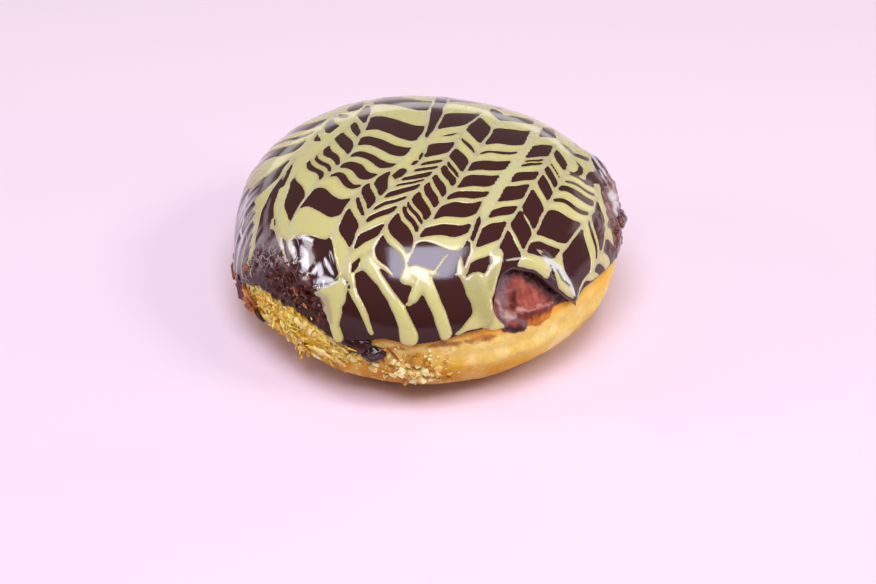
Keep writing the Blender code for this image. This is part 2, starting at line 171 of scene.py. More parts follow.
# Streaks left bare in the drips, and thin cream lines over bare places, in the same way
DRIP_GAPS = (
    ((10.3, -35, 0.15), (10, -38, 0.7), (10.2, -41, 0.35), (10.3, -44, 0.1)),
    ((16.9, -39.4, 0.2), (14.6, -40.2, 1.1), (12.3, -41, 0.7), (10.8, -43.8, 0.12)),
    ((-18.4, -41.6, 0.3), (-17.4, -40, 0.7), (-16.3, -38.5, 0.3)),
    ((-20.9, -42, 0.2), (-19.9, -43.8, 0.3), (-18.8, -45.3, 0.2)),
    ((-4.5, -49.5, 0.12), (-2.9, -50.6, 0.15)),
)
CREAM_LINES = (
    ((5.8, -38.6, 0.35), (4.2, -41, 0.45), (2.3, -43.6, 0.4)),
    ((-41.6, -10.5, 0.12), (-43, -16, 0.25), (-44.3, -22, 0.3)),
    ((-44.6, -8.5, 0.9), (-46, -14, 0.9), (-48, -20, 0.8), (-51.5, -24, 0.4)),
    ((-50.5, -13.5, 0.25), (-54.4, -18.7, 0.6), (-57.2, -20.2, 0.55), (-59, -22.4, 0.5),
     (-57.4, -26, 0.3)),
    ((-50, -19.5, 0.2), (-53.2, -24.2, 0.5), (-53.1, -28.2, 0.3)),
    ((-39.6, -22, 0.9), (-38.7, -26.5, 0.8), (-37.8, -31, 0.4), (-37, -34, 0.12)),
    ((-36.3, -25, 0.9), (-36.0, -29.5, 0.6), (-35.3, -33.4, 0.15)),
    ((-42.4, -21, 0.3), (-41.8, -25.5, 0.35), (-41, -29, 0.12)),
)
# Where the feathering stops at the sides: y and x of its edge, left and right
FLANK_EDGE = (
    (-40, -60), (-24, -51.5), (-20, -50.0), (-14, -48.3), (-8, -47.3), (0, -48.6), (8, -52), (16, -60),
)
SHOULDER_EDGE = (
    (-24, 60), (-16, 54), (-12, 51), (-7, 47), (-3, 45.2), (4, 44.8), (10, 43), (15, 42.5), (20, 45),
    (24, 60),
)
TINE_REACH = 1.7               # how fast a tine's drag fades away from it
TINE_SOFTNESS = 1.2            # how far the bends of a tine's path are eased
OUTER_COLUMN = 14.0            # how far the first and last column reach
TINE_GAP = 0.6                 # least gap between two tines
EDGE_MARGIN = 0.7              # the feathering stops this short of the coat's edge
FRONT_STEEPNESS = 0.8
FINGER_LENGTH = 2.6            # how far the icing's ragged left side reaches in and out
FINGERS_ROUND = 46.0
FINGERS_FROM = (38, 45)        # distance to the left over which it turns ragged
FEATHER_FRONT = (              # where the feathering ends at the front
    (-60, -24), (-50, -24), (-44, -20), (-41.5, -21), (-40, -24), (-38, -25), (-36.4, -28.2),
    (-34.4, -28.4), (-33.4, -27.8), (-30, -29.2), (-27, -31), (-24.6, -31.9), (-23.7, -31),
    (-23.3, -36), (-22, -40),
    (-21.2, -43.2), (-14, -41), (-11.5, -41.3), (-8, -43.8), (-5, -46), (-2.5, -46.5), (0, -44), (8, -44),
    (12, -41), (18, -38), (24, -40), (60, -60),
)
# Drips and puddles over the front edge: x, y, half width and rise along each stroke
STROKES = (
    ((-21.6, -36, 1.0, 0.1), (-20.8, -41.5, 1.2, 0.25), (-23.4, -46.0, 3.3, 0.45),
     (-25.2, -46.6, 4.1, 0.5), (-25.0, -50, 2.9, 0.7), (-25.6, -53, 1.7, 0.9), (-25.2, -56.2, 1.8, 1.1)),
    ((-29.7, -43.9, 0.4, 0.15), (-27, -44.8, 1.2, 0.3), (-23.5, -45, 1.7, 0.4)),
    ((-20.5, -37, 1.4, 0.1), (-19, -43, 1.3, 0.3), (-18, -47, 1.1, 0.5), (-16, -52, 1.0, 0.6),
     (-14.6, -56.5, 0.8, 0.6)),
    ((-15.5, -39, 1.7, 0.1), (-13, -42, 1.4, 0.25), (-10.8, -45, 1.25, 0.4), (-8.6, -48.3, 1.3, 0.6),
     (-6.6, -51.5, 1.7, 0.8), (-4.8, -55, 2.1, 1.0), (-3.8, -58.4, 2.7, 1.1)),
    ((-3.6, -50.2, 1.0, 0.4), (-2.4, -48.8, 1.4, 0.35), (-0.8, -45.5, 1.5, 0.2)),
    ((-2, -42.8, 1.6, 0.1), (0.3, -45, 2.0, 0.3), (1.8, -48, 1.75, 0.5), (4.3, -52.5, 1.9, 0.8),
     (6.4, -57.2, 2.0, 1.0)),
    ((10.6, -40.5, 1.1, 0.15), (10.3, -43.5, 1.6, 0.25), (13, -45, 3.3, 0.4), (15, -48, 2.9, 0.6),
     (16.6, -51.2, 3.2, 0.75), (20.5, -53.6, 2.3, 0.8), (24.5, -53.8, 0.8, 0.5)),
    ((18.6, -37, 1.5, 0.1), (17.6, -42, 1.7, 0.3), (16.5, -46, 2.3, 0.45)),
    ((15, -53.2, 2.2, 0.7), (12, -55.6, 1.0, 0.55), (9.6, -57.3, 0.5, 0.4)),
)
# Creases of the coat: height in mm, half width, then the path along each
FOLDS = (
    (-0.45, 0.5, ((-26.3, -36.5), (-25.9, -39.3), (-22.5, -42.8))),
    (-0.45, 0.5, ((-24.7, -35.5), (-23.9, -38.5), (-22.3, -42.6))),
    (0.50, 0.9, ((-29.5, -43.0), (-25.5, -43.4), (-22.2, -43.1))),
    (-0.40, 0.5, ((-33.4, -28.3), (-32.9, -31), (-32.5, -33.6))),
    (0.35, 0.8, ((-33.2, -27.9), (-31, -28.9), (-28.5, -31))),
    (0.80, 1.8, ((-33.6, -39.6), (-31, -40.6))),
    (0.55, 0.7, ((-38.6, -31), (-37.2, -34.5), (-35.8, -36.5), (-34.4, -38.2))),
    (-0.60, 1.0, ((-37.4, -36), (-35.5, -39.2))),
    (0.45, 0.8, ((30, -32.5), (35, -34.5), (41, -37.5))),
    (-0.35, 0.6, ((34.5, -35), (37, -36.6), (40.5, -36.8))),
    (0.40, 0.8, ((27, -36.4), (31, -37.6), (36, -38.0))),
)
# Marks on the coat, one table for each kind: x, y and half width along each
COAT_MARKS = {
    # Painted highlights: pale marks that stand in for the lamps' reflections on the coat and the cream,
    # at the crinkles, the ledge, the left limb and the right shoulder
    "painted_sheen": (
        ((-33.2, -28.2, 0.4), (-31, -29.1, 0.5), (-28.6, -31.0, 0.35)),
        ((-32.2, -31.4, 0.6), (-31.5, -34, 1.3), (-31.4, -37, 1.2)),
        ((-25.6, -36.6, 0.3), (-24.8, -38.4, 0.6), (-23.8, -40.6, 0.5)),
        ((-28.6, -38.8, 0.7), (-27.3, -37.9, 0.8), (-27.1, -39.8, 0.9)),
        ((-29, -41.4, 0.5), (-26.6, -41.4, 1.0), (-24, -42.3, 0.6)),
        ((-28.5, -43.2, 0.2), (-25.5, -43.3, 0.4), (-22.3, -43.1, 0.3)),
        ((-38.6, -26.5, 0.5), (-38.2, -28.8, 0.7)),
        ((-35.4, -28.9, 0.7), (-34.6, -33, 0.6)),
        ((31.5, -34.2, 0.9), (36, -34.9, 1.5), (40, -36.2, 1.1), (43, -37.6, 0.5)),
        ((48.8, 3.5, 0.8), (49.8, -0.5, 2.0), (51.2, -4.2, 1.5)),
        ((-52.2, -5.5, 0.3), (-50.8, -2.5, 0.7), (-49.4, 1.0, 0.4)),
        ((-55.2, -14.5, 0.3), (-54.2, -10.5, 0.6), (-52.4, -7.5, 0.4)),
        ((41.5, 16, 0.7), (43.5, 12.0, 0.8), (47.0, 8.0, 0.7)),
        ((45.4, 7.4, 0.35), (47.4, 3.4, 0.45)),
    ),
    "veil": (
        ((-41.5, -11, 0.3), (-43, -15, 0.9), (-43.6, -21, 0.9)),
        ((-40, -31.5, 1.0), (-38.2, -34.8, 0.9)),
        ((-36.6, -29, 0.8), (-36.2, -33, 0.7)),
        ((-33.4, -38.8, 0.7), (-31, -41.4, 0.8)),
        ((41, 9.5, 1.2), (42.5, 14, 1.3)),
        ((46.5, -9, 0.8), (49.5, -12.5, 1.1)),
    ),
    # Painted shade: dark lines along the creases, where shade falls
    "crease_shade": (
        ((-26.3, -36.4, 0.25), (-25.9, -39.3, 0.35), (-22.6, -42.7, 0.25)),
        ((-24.3, -32.5, 0.2), (-24.8, -35.6, 0.3), (-23.9, -38.5, 0.35), (-22.4, -42.4, 0.25)),
        ((-33.5, -28.3, 0.35), (-32.9, -31, 0.3), (-32.5, -33.6, 0.2)),
        ((-28.6, -40.8, 0.2), (-29.2, -42.2, 0.25)),
        ((35.4, -35.2, 0.3), (37.2, -36.6, 0.35), (40.4, -36.7, 0.3)),
        ((33.2, -35.0, 0.25), (34.4, -36.8, 0.3)),
    ),
    "brown_film": (
        ((-38.6, -30.8, 0.5), (-37.2, -33.8, 0.9), (-35.0, -37.8, 0.9)),
        ((-34.4, -39.0, 1.1), (-31.4, -40.2, 1.6)),
        ((45.4, 3, 0.8), (45.6, -3, 0.8), (47.5, -6, 0.7)),
        ((51.5, -7.5, 1.0), (54.0, -11.5, 1.2)),
    ),
}
# Sugar-thin places of the drips, in the same way
DRIP_THIN = (
    ((-28.4, -45.0, 1.2), (-27.2, -46.6, 2.2), (-26.4, -49.0, 1.7), (-25.9, -51.5, 0.9)),
)
# Places where the thick cream lies in shade, in the same way
CREAM_SHADE = (
    ((10.4, -41.5, 1.6), (12.6, -45.0, 3.2), (15.4, -49.0, 3.4), (18.6, -52.6, 2.4)),
    ((17.5, -40.5, 1.2), (17.2, -45, 1.6)),
)
# Lower limit of the bare bay, y for x, and the marks in it: x, y and half width along each
BAY_EDGE = (
    (18, -54), (22, -54.4), (26, -55.2), (29, -54.6), (32.8, -53.1), (33.5, -51.1), (37.5, -49.9),
    (40.2, -46.4), (40.6, -43.2), (43, -40.8), (46.5, -38.4), (52, -38),
)
BAY_SIDES = (-82, -37.5)       # degrees between which the bay lies
BAY_RIDGE = 0.00035            # height of its ridges
BAY_DAB = 0.00050              # height of its milky dab
# Where the dough shows below the bay: angle and distance
BELOW_BAY = (
    (-80, 0.0585), (-73, 0.0590), (-62, 0.0600), (-50, 0.0600), (-42, 0.0598), (-34, 0.0585),
    (-26, 0.0570), (-18, 0.0560),
)
BAY_MARKS = {
    "bay_rust": (((25.2, -43.6, 0.8), (25.6, -46.6, 1.5), (27.4, -48.6, 1.2)),
                 ((29, -50.0, 1.5), (35, -47.8, 1.9), (39.8, -44.8, 1.2))),
    # Painted shadow under the coat's lip along the top of the bay, and a dark place of crust at its foot
    "bay_dark_and_shadow": (((20.5, -41.8, 1.0), (24, -40.2, 1.7), (28, -39.4, 1.9), (34, -39.8, 2.4),
                  (39, -40.2, 2.4), (43, -39.6, 2.0), (46.5, -38.6, 1.4)),
                 ((25.3, -53.9, 1.0), (29, -53.4, 1.2), (32.4, -52.2, 0.8))),
    "bay_grey": (((21.4, -42.6, 1.9), (21.2, -45.5, 2.3), (22.2, -48.6, 2.2), (23.8, -51.4, 1.6),
                  (25, -53.2, 1.0)),
                 ((28.6, -51, 0.8), (32.2, -50.9, 0.9))),
    # Raised ridges in the bay, painted pale as highlights on them
    "bay_ridge_highlight": (((19.8, -47.4, 0.3), (23.2, -50.2, 0.45)),
                  ((26.3, -49.2, 0.4), (31, -47.7, 0.5), (35, -45.4, 0.45), (39.6, -42.8, 0.3))),
    "bay_milk": (((24.6, -50.8, 1.2), (27.0, -50.5, 1.1)),),
    "bay_crust": (((33.4, -50.4, 0.9), (37, -48.7, 1.6), (39.4, -46.4, 1.3), (40.4, -44.6, 0.7)),
                  ((40, -47, 0.8), (42.8, -46.6, 0.3))),
}
# Scorched places of the crust just below the coat, in the same way
SCORCH = (
    ((2.5, -61.6, 0.7), (7.4, -61.2, 1.1), (12, -60.4, 0.8)),
    ((13.5, -59.8, 0.7), (18.4, -58.4, 1.3), (22.4, -57.2, 0.7)),
    ((-11, -62.2, 0.6), (-6, -62.4, 0.8)),
)

# Set lumps: angle, distance, half length, width and height, centre above the coat, heading
LUMPS = (
    (-2.6, 0.0551, 0.0048, 0.0021, 0.0017, 0.0003, 20),
    (-10.5, 0.0545, 0.0017, 0.0012, 0.0011, 0.0002, 40),
    (-12.5, 0.0560, 0.0015, 0.0010, 0.0009, 0.0001, -20),
    (-8.5, 0.0573, 0.0015, 0.0011, 0.0009, 0.0, 70),
    (-15, 0.0562, 0.0013, 0.0009, 0.0008, 0.0001, 10),
    (-104.3, 0.0648, 0.0027, 0.0021, 0.0017, -0.0010, 0),
    (-108.5, 0.0628, 0.0034, 0.0023, 0.0013, -0.0009, 12),
    (-101.8, 0.0640, 0.0015, 0.0011, 0.0009, -0.0011, 40),
    (-112, 0.0622, 0.0024, 0.0013, 0.0010, -0.0007, 0),
)
RUSTY_FROM = -50               # lumps at a larger angle are reddish
# Swellings of the coat at the right shoulder: angle, distance, half length, half width, height
SWELLINGS = (
    (17, 0.0480, 0.0050, 0.0042, 0.0015), (10, 0.0505, 0.0036, 0.0030, 0.0012),
    (1, 0.0505, 0.0040, 0.0040, 0.0009), (-9, 0.0545, 0.0030, 0.0030, 0.0008),
    (-15, 0.0560, 0.0026, 0.0022, 0.0006),
)
# Slivers at the coat's lip at the far left and in the torn hollow: angle, distance, half length,
# lean, level above the dough, half width
SLIVERS = (
    (-171, 0.0682, 0.0034, 20, 0.0021, 0.0007), (-165.5, 0.0702, 0.0044, 12, 0.0021, 0.0009),
    (-161, 0.0688, 0.0038, -10, 0.0021, 0.0007), (-157, 0.0668, 0.0034, 26, 0.0021, 0.0006),
    (-168, 0.0700, 0.0040, -24, 0.0021, 0.0007), (-153.5, 0.0714, 0.0034, 8, 0.0019, 0.0007),
    (-152.0, 0.0728, 0.0028, -14, 0.0017, 0.0006), (-155.2, 0.0704, 0.0028, 24, 0.0019, 0.0006),
    (-129.5, 0.0557, 0.0027, 78, 0.0018, 0.00035), (-127.6, 0.0545, 0.0016, 80, 0.0018, 0.0005),
    (-131, 0.0549, 0.0013, 60, 0.0018, 0.0004), (-126.5, 0.0572, 0.0011, 60, 0.0016, 0.0004),
    (-100, 0.0634, 0.0022, 62, 0.0006, 0.00036), (-98, 0.0645, 0.0018, 50, 0.0005, 0.00034),
    (-101.5, 0.0660, 0.0014, 30, 0.0006, 0.0004),
)
LIP_SLIVERS = 5                # the first of them, round which small ones gather
SMALL_SLIVERS = 26
SMALL_SLIVER_HALF = (0.0012, 0.0026)
SMALL_SLIVER_LEVEL = (0.0008, 0.0030)
SMALL_SLIVER_WIDTH = (0.0003, 0.0006)     # half of it

# Places of the coat where it is torn, crinkled or smeared with cream: strength, width, sharpness
# of its limit, and the path along its middle, in metres on the unwrapped coat
TORN = ((1.0, CRATER_WIDTH, 2, CRATER_ENDS),)
CRINKLED = (
    (1.0, 0.0036, 2, ((-0.055, -0.024), (-0.047, -0.026), (-0.042, -0.031))),
    (0.8, 0.0014, 2, ((-0.0345, -0.034), (-0.034, -0.0375), (-0.0305, -0.0385))),
    (0.6, 0.0020, 2, ((0.033, -0.0345), (0.041, -0.0375))),
)
SMEARED = (
    (1.0, 0.0062, 4, ((-0.0485, 0.010), (-0.0515, 0.0), (-0.0525, -0.012), (-0.057, -0.014),
                      (-0.066, -0.011))),
    (0.6, 0.0040, 2, ((-0.047, -0.022), (-0.042, -0.027))),
)
SMEAR_START = (0.040, 0.047)   # distances over which the smear sets in
CRUMPLED_ANGLE = 2.0
CRUMPLED_SPREAD = 16.0
CRUMPLE_START = (0.0455, 0.0495)
THINNEST_COAT = 0.0004


def bun_profile():
    """Plan radius, height and distance from the top along the outline of the bun."""
    turn = np.linspace(0.0, math.pi / 2, 1500)
    top_r = BUN_RADIUS * np.sin(turn) ** (2 / SHOULDER_ACROSS)
    top_z = WIDEST_LEVEL + (BUN_HEIGHT - WIDEST_LEVEL) * np.cos(turn) ** (2 / SHOULDER_UP)
    low = turn[1:]
    low_r = BASE_RADIUS + (BUN_RADIUS - BASE_RADIUS) * np.cos(low) ** (2 / UNDERSIDE)
    low_z = WIDEST_LEVEL - WIDEST_LEVEL * np.sin(low) ** (2 / UNDERSIDE)
    radius = np.concatenate((top_r, low_r))
    height = np.concatenate((top_z, low_z))
    steps = np.hypot(np.diff(radius), np.diff(height))
    return radius, height, np.concatenate(((0.0,), np.cumsum(steps)))


PROFILE_R, PROFILE_Z, PROFILE_S = bun_profile()
BUN_REACH = float(PROFILE_S[-1])


def pressed(radius, angle, level):
    """Points of a turned form, pressed out of round as the real bun is."""
    swell = 1.0 + sum(c * np.cos(n * angle) + s * np.sin(n * angle) for n, c, s in PLAN_WAVES)
    x, y = radius * np.cos(angle) * swell, radius * np.sin(angle) * swell
    return np.stack((x, y, level * (1.0 + RISE_TO_RIGHT * x)), axis=-1)


def on_dough(distance, angle):
    """Points of the dough's surface."""
    return pressed(np.interp(distance, PROFILE_S, PROFILE_R), angle,
                   np.interp(distance, PROFILE_S, PROFILE_Z))


def dough_normal(distance, angle):
    """Outward normals of the dough, from two short steps along its surface."""
    distance = np.clip(distance, 2 * NORMAL_STEP, BUN_REACH - NORMAL_STEP)
    down = on_dough(distance + NORMAL_STEP, angle) - on_dough(distance - NORMAL_STEP, angle)
    turn = NORMAL_STEP / BUN_RADIUS
    around = on_dough(distance, angle + turn) - on_dough(distance, angle - turn)
    normal = np.cross(down, around)
    return normal / np.linalg.norm(normal, axis=-1, keepdims=True)


def over_dough(distance, angle, height):
    """Points at a height above the dough."""
    height = np.asarray(height)
    return on_dough(distance, angle) + dough_normal(distance, angle) * height[..., None]


def raw_edge(degrees):
    """Distance from the top at which the coat ends, before its corners are eased."""
    first, last = COAT_EDGE_FRONT[0], COAT_EDGE_FRONT[-1]
    front = np.interp(degrees, *zip(*COAT_EDGE_FRONT))
    behind = np.where(degrees > last[0], degrees, degrees + 360.0)
    share = (behind - last[0]) / (first[0] + 360.0 - last[0])
    angle = np.radians(degrees)
    waves = sum(a * np.sin(n * angle + p) for n, a, p in COAT_EDGE_BACK_WAVES)
    ends = last[1] + (first[1] - last[1]) * share
    nearness = np.clip(BACK_EASE * np.minimum(share, 1.0 - share), 0.0, 1.0)
    back = ends + (COAT_EDGE_BACK + waves - ends) * nearness ** 2 * (3.0 - 2.0 * nearness)
    return np.where((degrees >= first[0]) & (degrees <= last[0]), front, back)


EDGE_DEGREES = np.arange(-180.0, 180.0, 0.5)
EDGE_SOFTENING = np.hanning(9)[1:-1] / np.hanning(9).sum()


def eased_edge():
    """The coat's lower edge every half degree, with its corners eased."""
    raw = raw_edge(EDGE_DEGREES)
    margin = len(EDGE_SOFTENING) // 2
    wrapped = np.concatenate((raw[-margin:], raw, raw[:margin]))
    return np.convolve(wrapped, EDGE_SOFTENING, mode="valid")


EDGE_DISTANCE = eased_edge()


def coat_edge(angle):
    """Distance from the top at which the coat ends."""
    return np.interp(np.degrees(angle), EDGE_DEGREES, EDGE_DISTANCE, period=360.0)


def unwrapped(distance, angle):
    """Place in the plane of the unwrapped surface."""
    return distance * np.cos(angle), distance * np.sin(angle)


def way_to_path(x, y, corners):
    """Distance in the plane to a path of straight runs, and how far along the path that is."""
    best = np.full(np.shape(x), np.inf)
    along = np.zeros(np.shape(x))
    for index, (start, end) in enumerate(zip(corners, corners[1:])):
        run_x, run_y = end[0] - start[0], end[1] - start[1]
        share = ((x - start[0]) * run_x + (y - start[1]) * run_y) / (run_x ** 2 + run_y ** 2)
        share = np.clip(share, 0.0, 1.0)
        way = np.hypot(x - start[0] - run_x * share, y - start[1] - run_y * share)
        nearer = way < best
        best = np.where(nearer, way, best)
        along = np.where(nearer, index + share, along)
    return best, along


def smooth(value, low, high):
    """Eased step from 0 at low to 1 at high."""
    share = np.clip((value - low) / (high - low), 0.0, 1.0)
    return share * share * (3.0 - 2.0 * share)


def hump(value, middle, width):
    """Bell curve round a middle value."""
    return np.exp(-((value - middle) / width) ** 2)


def turned_off(angle, degrees):
    """Signed angle from a direction, in degrees."""
    return (np.degrees(angle) - degrees + 180.0) % 360.0 - 180.0


def slopes_and_order(count=256, seed=5):
    """Random unit vectors and their shuffled order, for the noise below."""
    draw = np.random.default_rng(seed)
    slopes = draw.normal(size=(count, 3))
    return slopes / np.linalg.norm(slopes, axis=1, keepdims=True), draw.permutation(count)


SLOPES, ORDER = slopes_and_order()


NOISE_SHIFT = 7.31             # how far each seed moves the noise
NOISE_GAIN = 1.6               # brings it to about -1 to 1


def uneven(points, size, seed, stretch=(1.0, 1.0, 1.0)):
    """Smooth gradient noise, about -1 to 1, at each point, with lumps of a size."""
    scaled = points / (np.array(stretch) * size) + seed * NOISE_SHIFT
    cell = np.floor(scaled).astype(int)
    part = scaled - cell
    ease = part ** 3 * (part * (part * 6.0 - 15.0) + 10.0)
    total = np.zeros(len(points))
    for corner in np.ndindex(2, 2, 2):
        spot = (cell + corner) % len(ORDER)
        mark = ORDER[(spot[:, 0] + ORDER[(spot[:, 1] + ORDER[spot[:, 2]]) % len(ORDER)]) % len(ORDER)]
        weight = np.prod(np.where(corner, ease, 1.0 - ease), axis=1)
        total += weight * ((part - corner) * SLOPES[mark]).sum(axis=1)
    return total * NOISE_GAIN


def creased(points, size, seed, stretch=(1.0, 1.0, 1.0)):
    """Noise with sharp ridges, 0 to 1."""
    return 1.0 - np.minimum(np.abs(uneven(points, size, seed, stretch)) * 2.0, 1.0)


def relief(points, layers):
    """Height of layers of noise: kind, height, size of its lumps, seed and any stretch of each."""
    return sum(height * kind(points, size, seed, *stretch)
               for kind, height, size, seed, *stretch in layers)


COAT_WAVES = ((uneven, 0.00010, 0.016, 1), (uneven, 0.00004, 0.006, 2))
CRINKLES = ((creased, 0.00050, 0.0028, 3, (1.0, 0.6, 1.6)), (uneven, 0.00014, 0.0013, 4))
TEARS = ((creased, 0.00105, 0.0027, 5, (1.5, 0.8, 1.0)), (uneven, 0.00034, 0.0011, 6))
CRUMPLES = ((creased, 0.0010, 0.0042, 8), (uneven, 0.00042, 0.0017, 9))
CRINKLE_MEAN = 0.0002          # taken off, so that the coat keeps its thickness
CRAG_MEAN = 0.0004
DRAPES = (0.0026, 0.016, 7)    # size across and down the slope, and seed
DRAPE_HEIGHT = 0.00048
FOLD_ROUNDING = 0.12           # of the top of a crease, in mm
LIP_FROM = 0.8                 # share of the way to the edge at which the left lip starts to rise
LIP_RUN = 0.2

LEDGE = [tuple(float(v) for v in unwrapped(reach, math.radians(degrees)))
         for degrees, reach in LEDGE_PATH]


def share_along(distance, angle, places):
    """Share, 0 to 1, by which a place lies along any of some paths of the coat."""
    x, y = unwrapped(distance, angle)
    return np.max([strength * np.exp(-(way_to_path(x, y, path)[0] / width) ** power)
                   for strength, width, power, path in places], axis=0)


def torn_share(distance, angle):
    """Share by which the coat is torn rough, in the hollow at the left front."""
    return share_along(distance, angle, TORN)


def crinkle_share(distance, angle):
    """Share by which the coat is crinkled, above the torn hollow and by the ledge."""
    return share_along(distance, angle, CRINKLED)


def crumpled_share(distance, angle):
    """Share by which the coat is crumpled, at the right shoulder."""
    return (hump(turned_off(angle, CRUMPLED_ANGLE), 0.0, CRUMPLED_SPREAD)
            * smooth(distance, *CRUMPLE_START))


def smear_share(distance, angle):
    """Share by which cream is smeared thin into the coat, down the left flank."""
    share = share_along(distance, angle, SMEARED)
    return share * (1 - torn_share(distance, angle)) * smooth(distance, *SMEAR_START)


def flowing(distance, angle, across, along, seed):
    """Noise drawn out down the slope: lumps of one size across it and another along it."""
    way = np.stack((angle * BUN_RADIUS / across, distance / along, np.zeros(len(angle))), axis=-1)
    return uneven(way, 1.0, seed)


def folds(x, y):
    """Height of the coat's creases at a place of the unwrapped surface, in mm."""
    total = np.zeros(x.shape)
    for height, half, path in FOLDS:
        way, _ = way_to_path(x, y, path)
        total += height * np.exp(-np.hypot(way, FOLD_ROUNDING) / half)
    return total


def swellings(distance, angle):
    """Height of the coat's swellings at the right shoulder."""
    total = np.zeros(np.shape(distance))
    for degrees, reach, half_length, half_width, height in SWELLINGS:
        around = np.radians(turned_off(angle, degrees)) * BUN_RADIUS / half_width
        total += height * np.exp(-around ** 2 - ((distance - reach) / half_length) ** 2)
    return total


def coat_height(distance, angle):
    """Height of the coat's outer face above the dough."""
    x, y = unwrapped(distance, angle)
    ledge_way, _ = way_to_path(x, y, LEDGE)
    ledge = LEDGE_HEIGHT * hump(ledge_way, 0.0, LEDGE_WIDTH)
    torn = torn_share(distance, angle)
    near_edge = np.clip(distance / coat_edge(angle) - LIP_FROM, 0.0, None) / LIP_RUN
    lip = (LEFT_LIP_HEIGHT * hump(turned_off(angle, LEFT_LIP_ANGLE), 0.0, LEFT_LIP_SPREAD)
           * np.minimum(near_edge, 1.0))
    spots = on_dough(distance, angle)
    drapes = flowing(distance, angle, *DRAPES) * DRAPE_HEIGHT
    fine = (relief(spots, COAT_WAVES)
            + crinkle_share(distance, angle) * (relief(spots, CRINKLES) - CRINKLE_MEAN)
            + torn * (relief(spots, TEARS) - CRAG_MEAN)
            + crumpled_share(distance, angle) * (relief(spots, CRUMPLES) - CRAG_MEAN)
            + folds(x / MM, y / MM) * MM
            + smear_share(distance, angle) * drapes + swellings(distance, angle))
    return np.maximum(COAT_LEVEL + ledge + lip - CRATER_DEPTH * torn + fine, THINNEST_COAT)


def tine_lines():
    """Eased x of every tine for every half millimetre of y, kept in order."""
    levels = np.arange(-66.0, 66.5, 0.5)
    reach = np.arange(-10, 11) * 0.5
    bell = np.exp(-(reach / TINE_SOFTNESS) ** 2)
    lines = []
    for _, path in TINES:
        xs, ys = zip(*reversed(path))
        raw = np.interp(levels, ys, xs)
        padded = np.pad(raw, len(reach) // 2, mode="edge")
        lines.append(np.convolve(padded, bell / bell.sum(), mode="valid"))
        if len(lines) > 1:
            lines[-1] = np.maximum(lines[-1], lines[-2] + TINE_GAP)
    return levels, lines


TINE_LEVELS, TINE_LINES = tine_lines()
TINE_SLOPES = [np.gradient(line, TINE_LEVELS) for line in TINE_LINES]


def feathering(x, y, drag, spine):
    """How deep in the cream a place of the unwrapped coat is, in mm; below zero is bare."""
    tines = [np.interp(y, TINE_LEVELS, line) for line in TINE_LINES]
    leans = [1.0 / np.sqrt(1.0 + np.interp(y, TINE_LEVELS, slope) ** 2) for slope in TINE_SLOPES]
    column = sum((x > tine).astype(int) for tine in tines)
    cream = np.zeros(x.shape)
    for index, (lean, gaps) in enumerate(COLUMNS):
        inside = column == index
        left = tines[index - 1][inside] if index else tines[0][inside] - OUTER_COLUMN
        right = tines[index][inside] if index < len(TINES) else tines[-1][inside] + OUTER_COLUMN
        at_x, at_y = x[inside], y[inside]
        dragged, steep = np.zeros(at_x.shape), np.ones(at_x.shape)
        bare_limit = np.full(at_x.shape, np.inf)
        for side, tine in ((at_x - left, index - 1), (right - at_x, index)):
            if 0 <= tine < len(TINES):
                way = side * leans[tine][inside]
                pull = drag / TINE_REACH * np.exp(-way / TINE_REACH)
                dragged += TINES[tine][0] * pull * TINE_REACH
                steep += pull
                bare_limit = np.minimum(bare_limit, way - spine)
        across = at_x - 0.5 * (left + right)
        bare = np.full(at_x.shape, -np.inf)
        for top, bottom, *own_lean in gaps:
            source = at_y - dragged - (own_lean[0] if own_lean else lean) * across
            bare = np.maximum(bare, 0.5 * (top - bottom) - np.abs(source - 0.5 * (top + bottom)))
        bare = bare / np.sqrt(1.0 + (steep - 1.0) ** 2 * 0.5)
        cream[inside] = -np.minimum(bare, bare_limit)
    return cream


def tapered(x, y, marks):
    """Distance to each mark's middle line, with the mark's half width, and any rise, there."""
    for mark in marks:
        way, along = way_to_path(x, y, [point[:2] for point in mark])
        yield way, *(np.interp(along, np.arange(len(mark)), column) for column in list(zip(*mark))[2:])


def strokes(x, y):
    """How deep in the drips a place is, in mm, and how far they rise above the coat."""
    depth, rise = np.full(x.shape, -np.inf), np.zeros(x.shape)
    for way, half, top in tapered(x, y, STROKES):
        inside = half - way
        depth = np.maximum(depth, inside)
        fill = 1.0 - np.clip(1.0 - inside / half, 0.0, 1.0) ** 2
        rise = (rise ** 4 + (top * np.sqrt(np.maximum(fill, 0.0)) * (inside > 0)) ** 4) ** 0.25
    return depth, rise


def mark_share(x, y, marks, inner=0.5, outer=1.25):
    """Share, soft at the edges, by which a place lies on some tapered marks."""
    return np.max([1.0 - smooth(way / half, inner, outer) for way, half in tapered(x, y, marks)], axis=0)


def streak_depth(x, y, streaks):
    """How deep in any of some tapered streaks a place is."""
    return np.max([half - way for way, half in tapered(x, y, streaks)], axis=0)


HAND_SWAY = ((4.0, 21), (3.0, 22))        # size of its waves and seed, across and along
FINGER_SIZE = 1.0
FINGER_SEED = 29


def wavered(x, y, wobble):
    """Places moved as by an unsteady hand."""
    flat = np.stack((x, y, np.zeros(len(x))), axis=-1)
    across, along = (uneven(flat, *waves) for waves in HAND_SWAY)
    return x + wobble * across, y + wobble * along


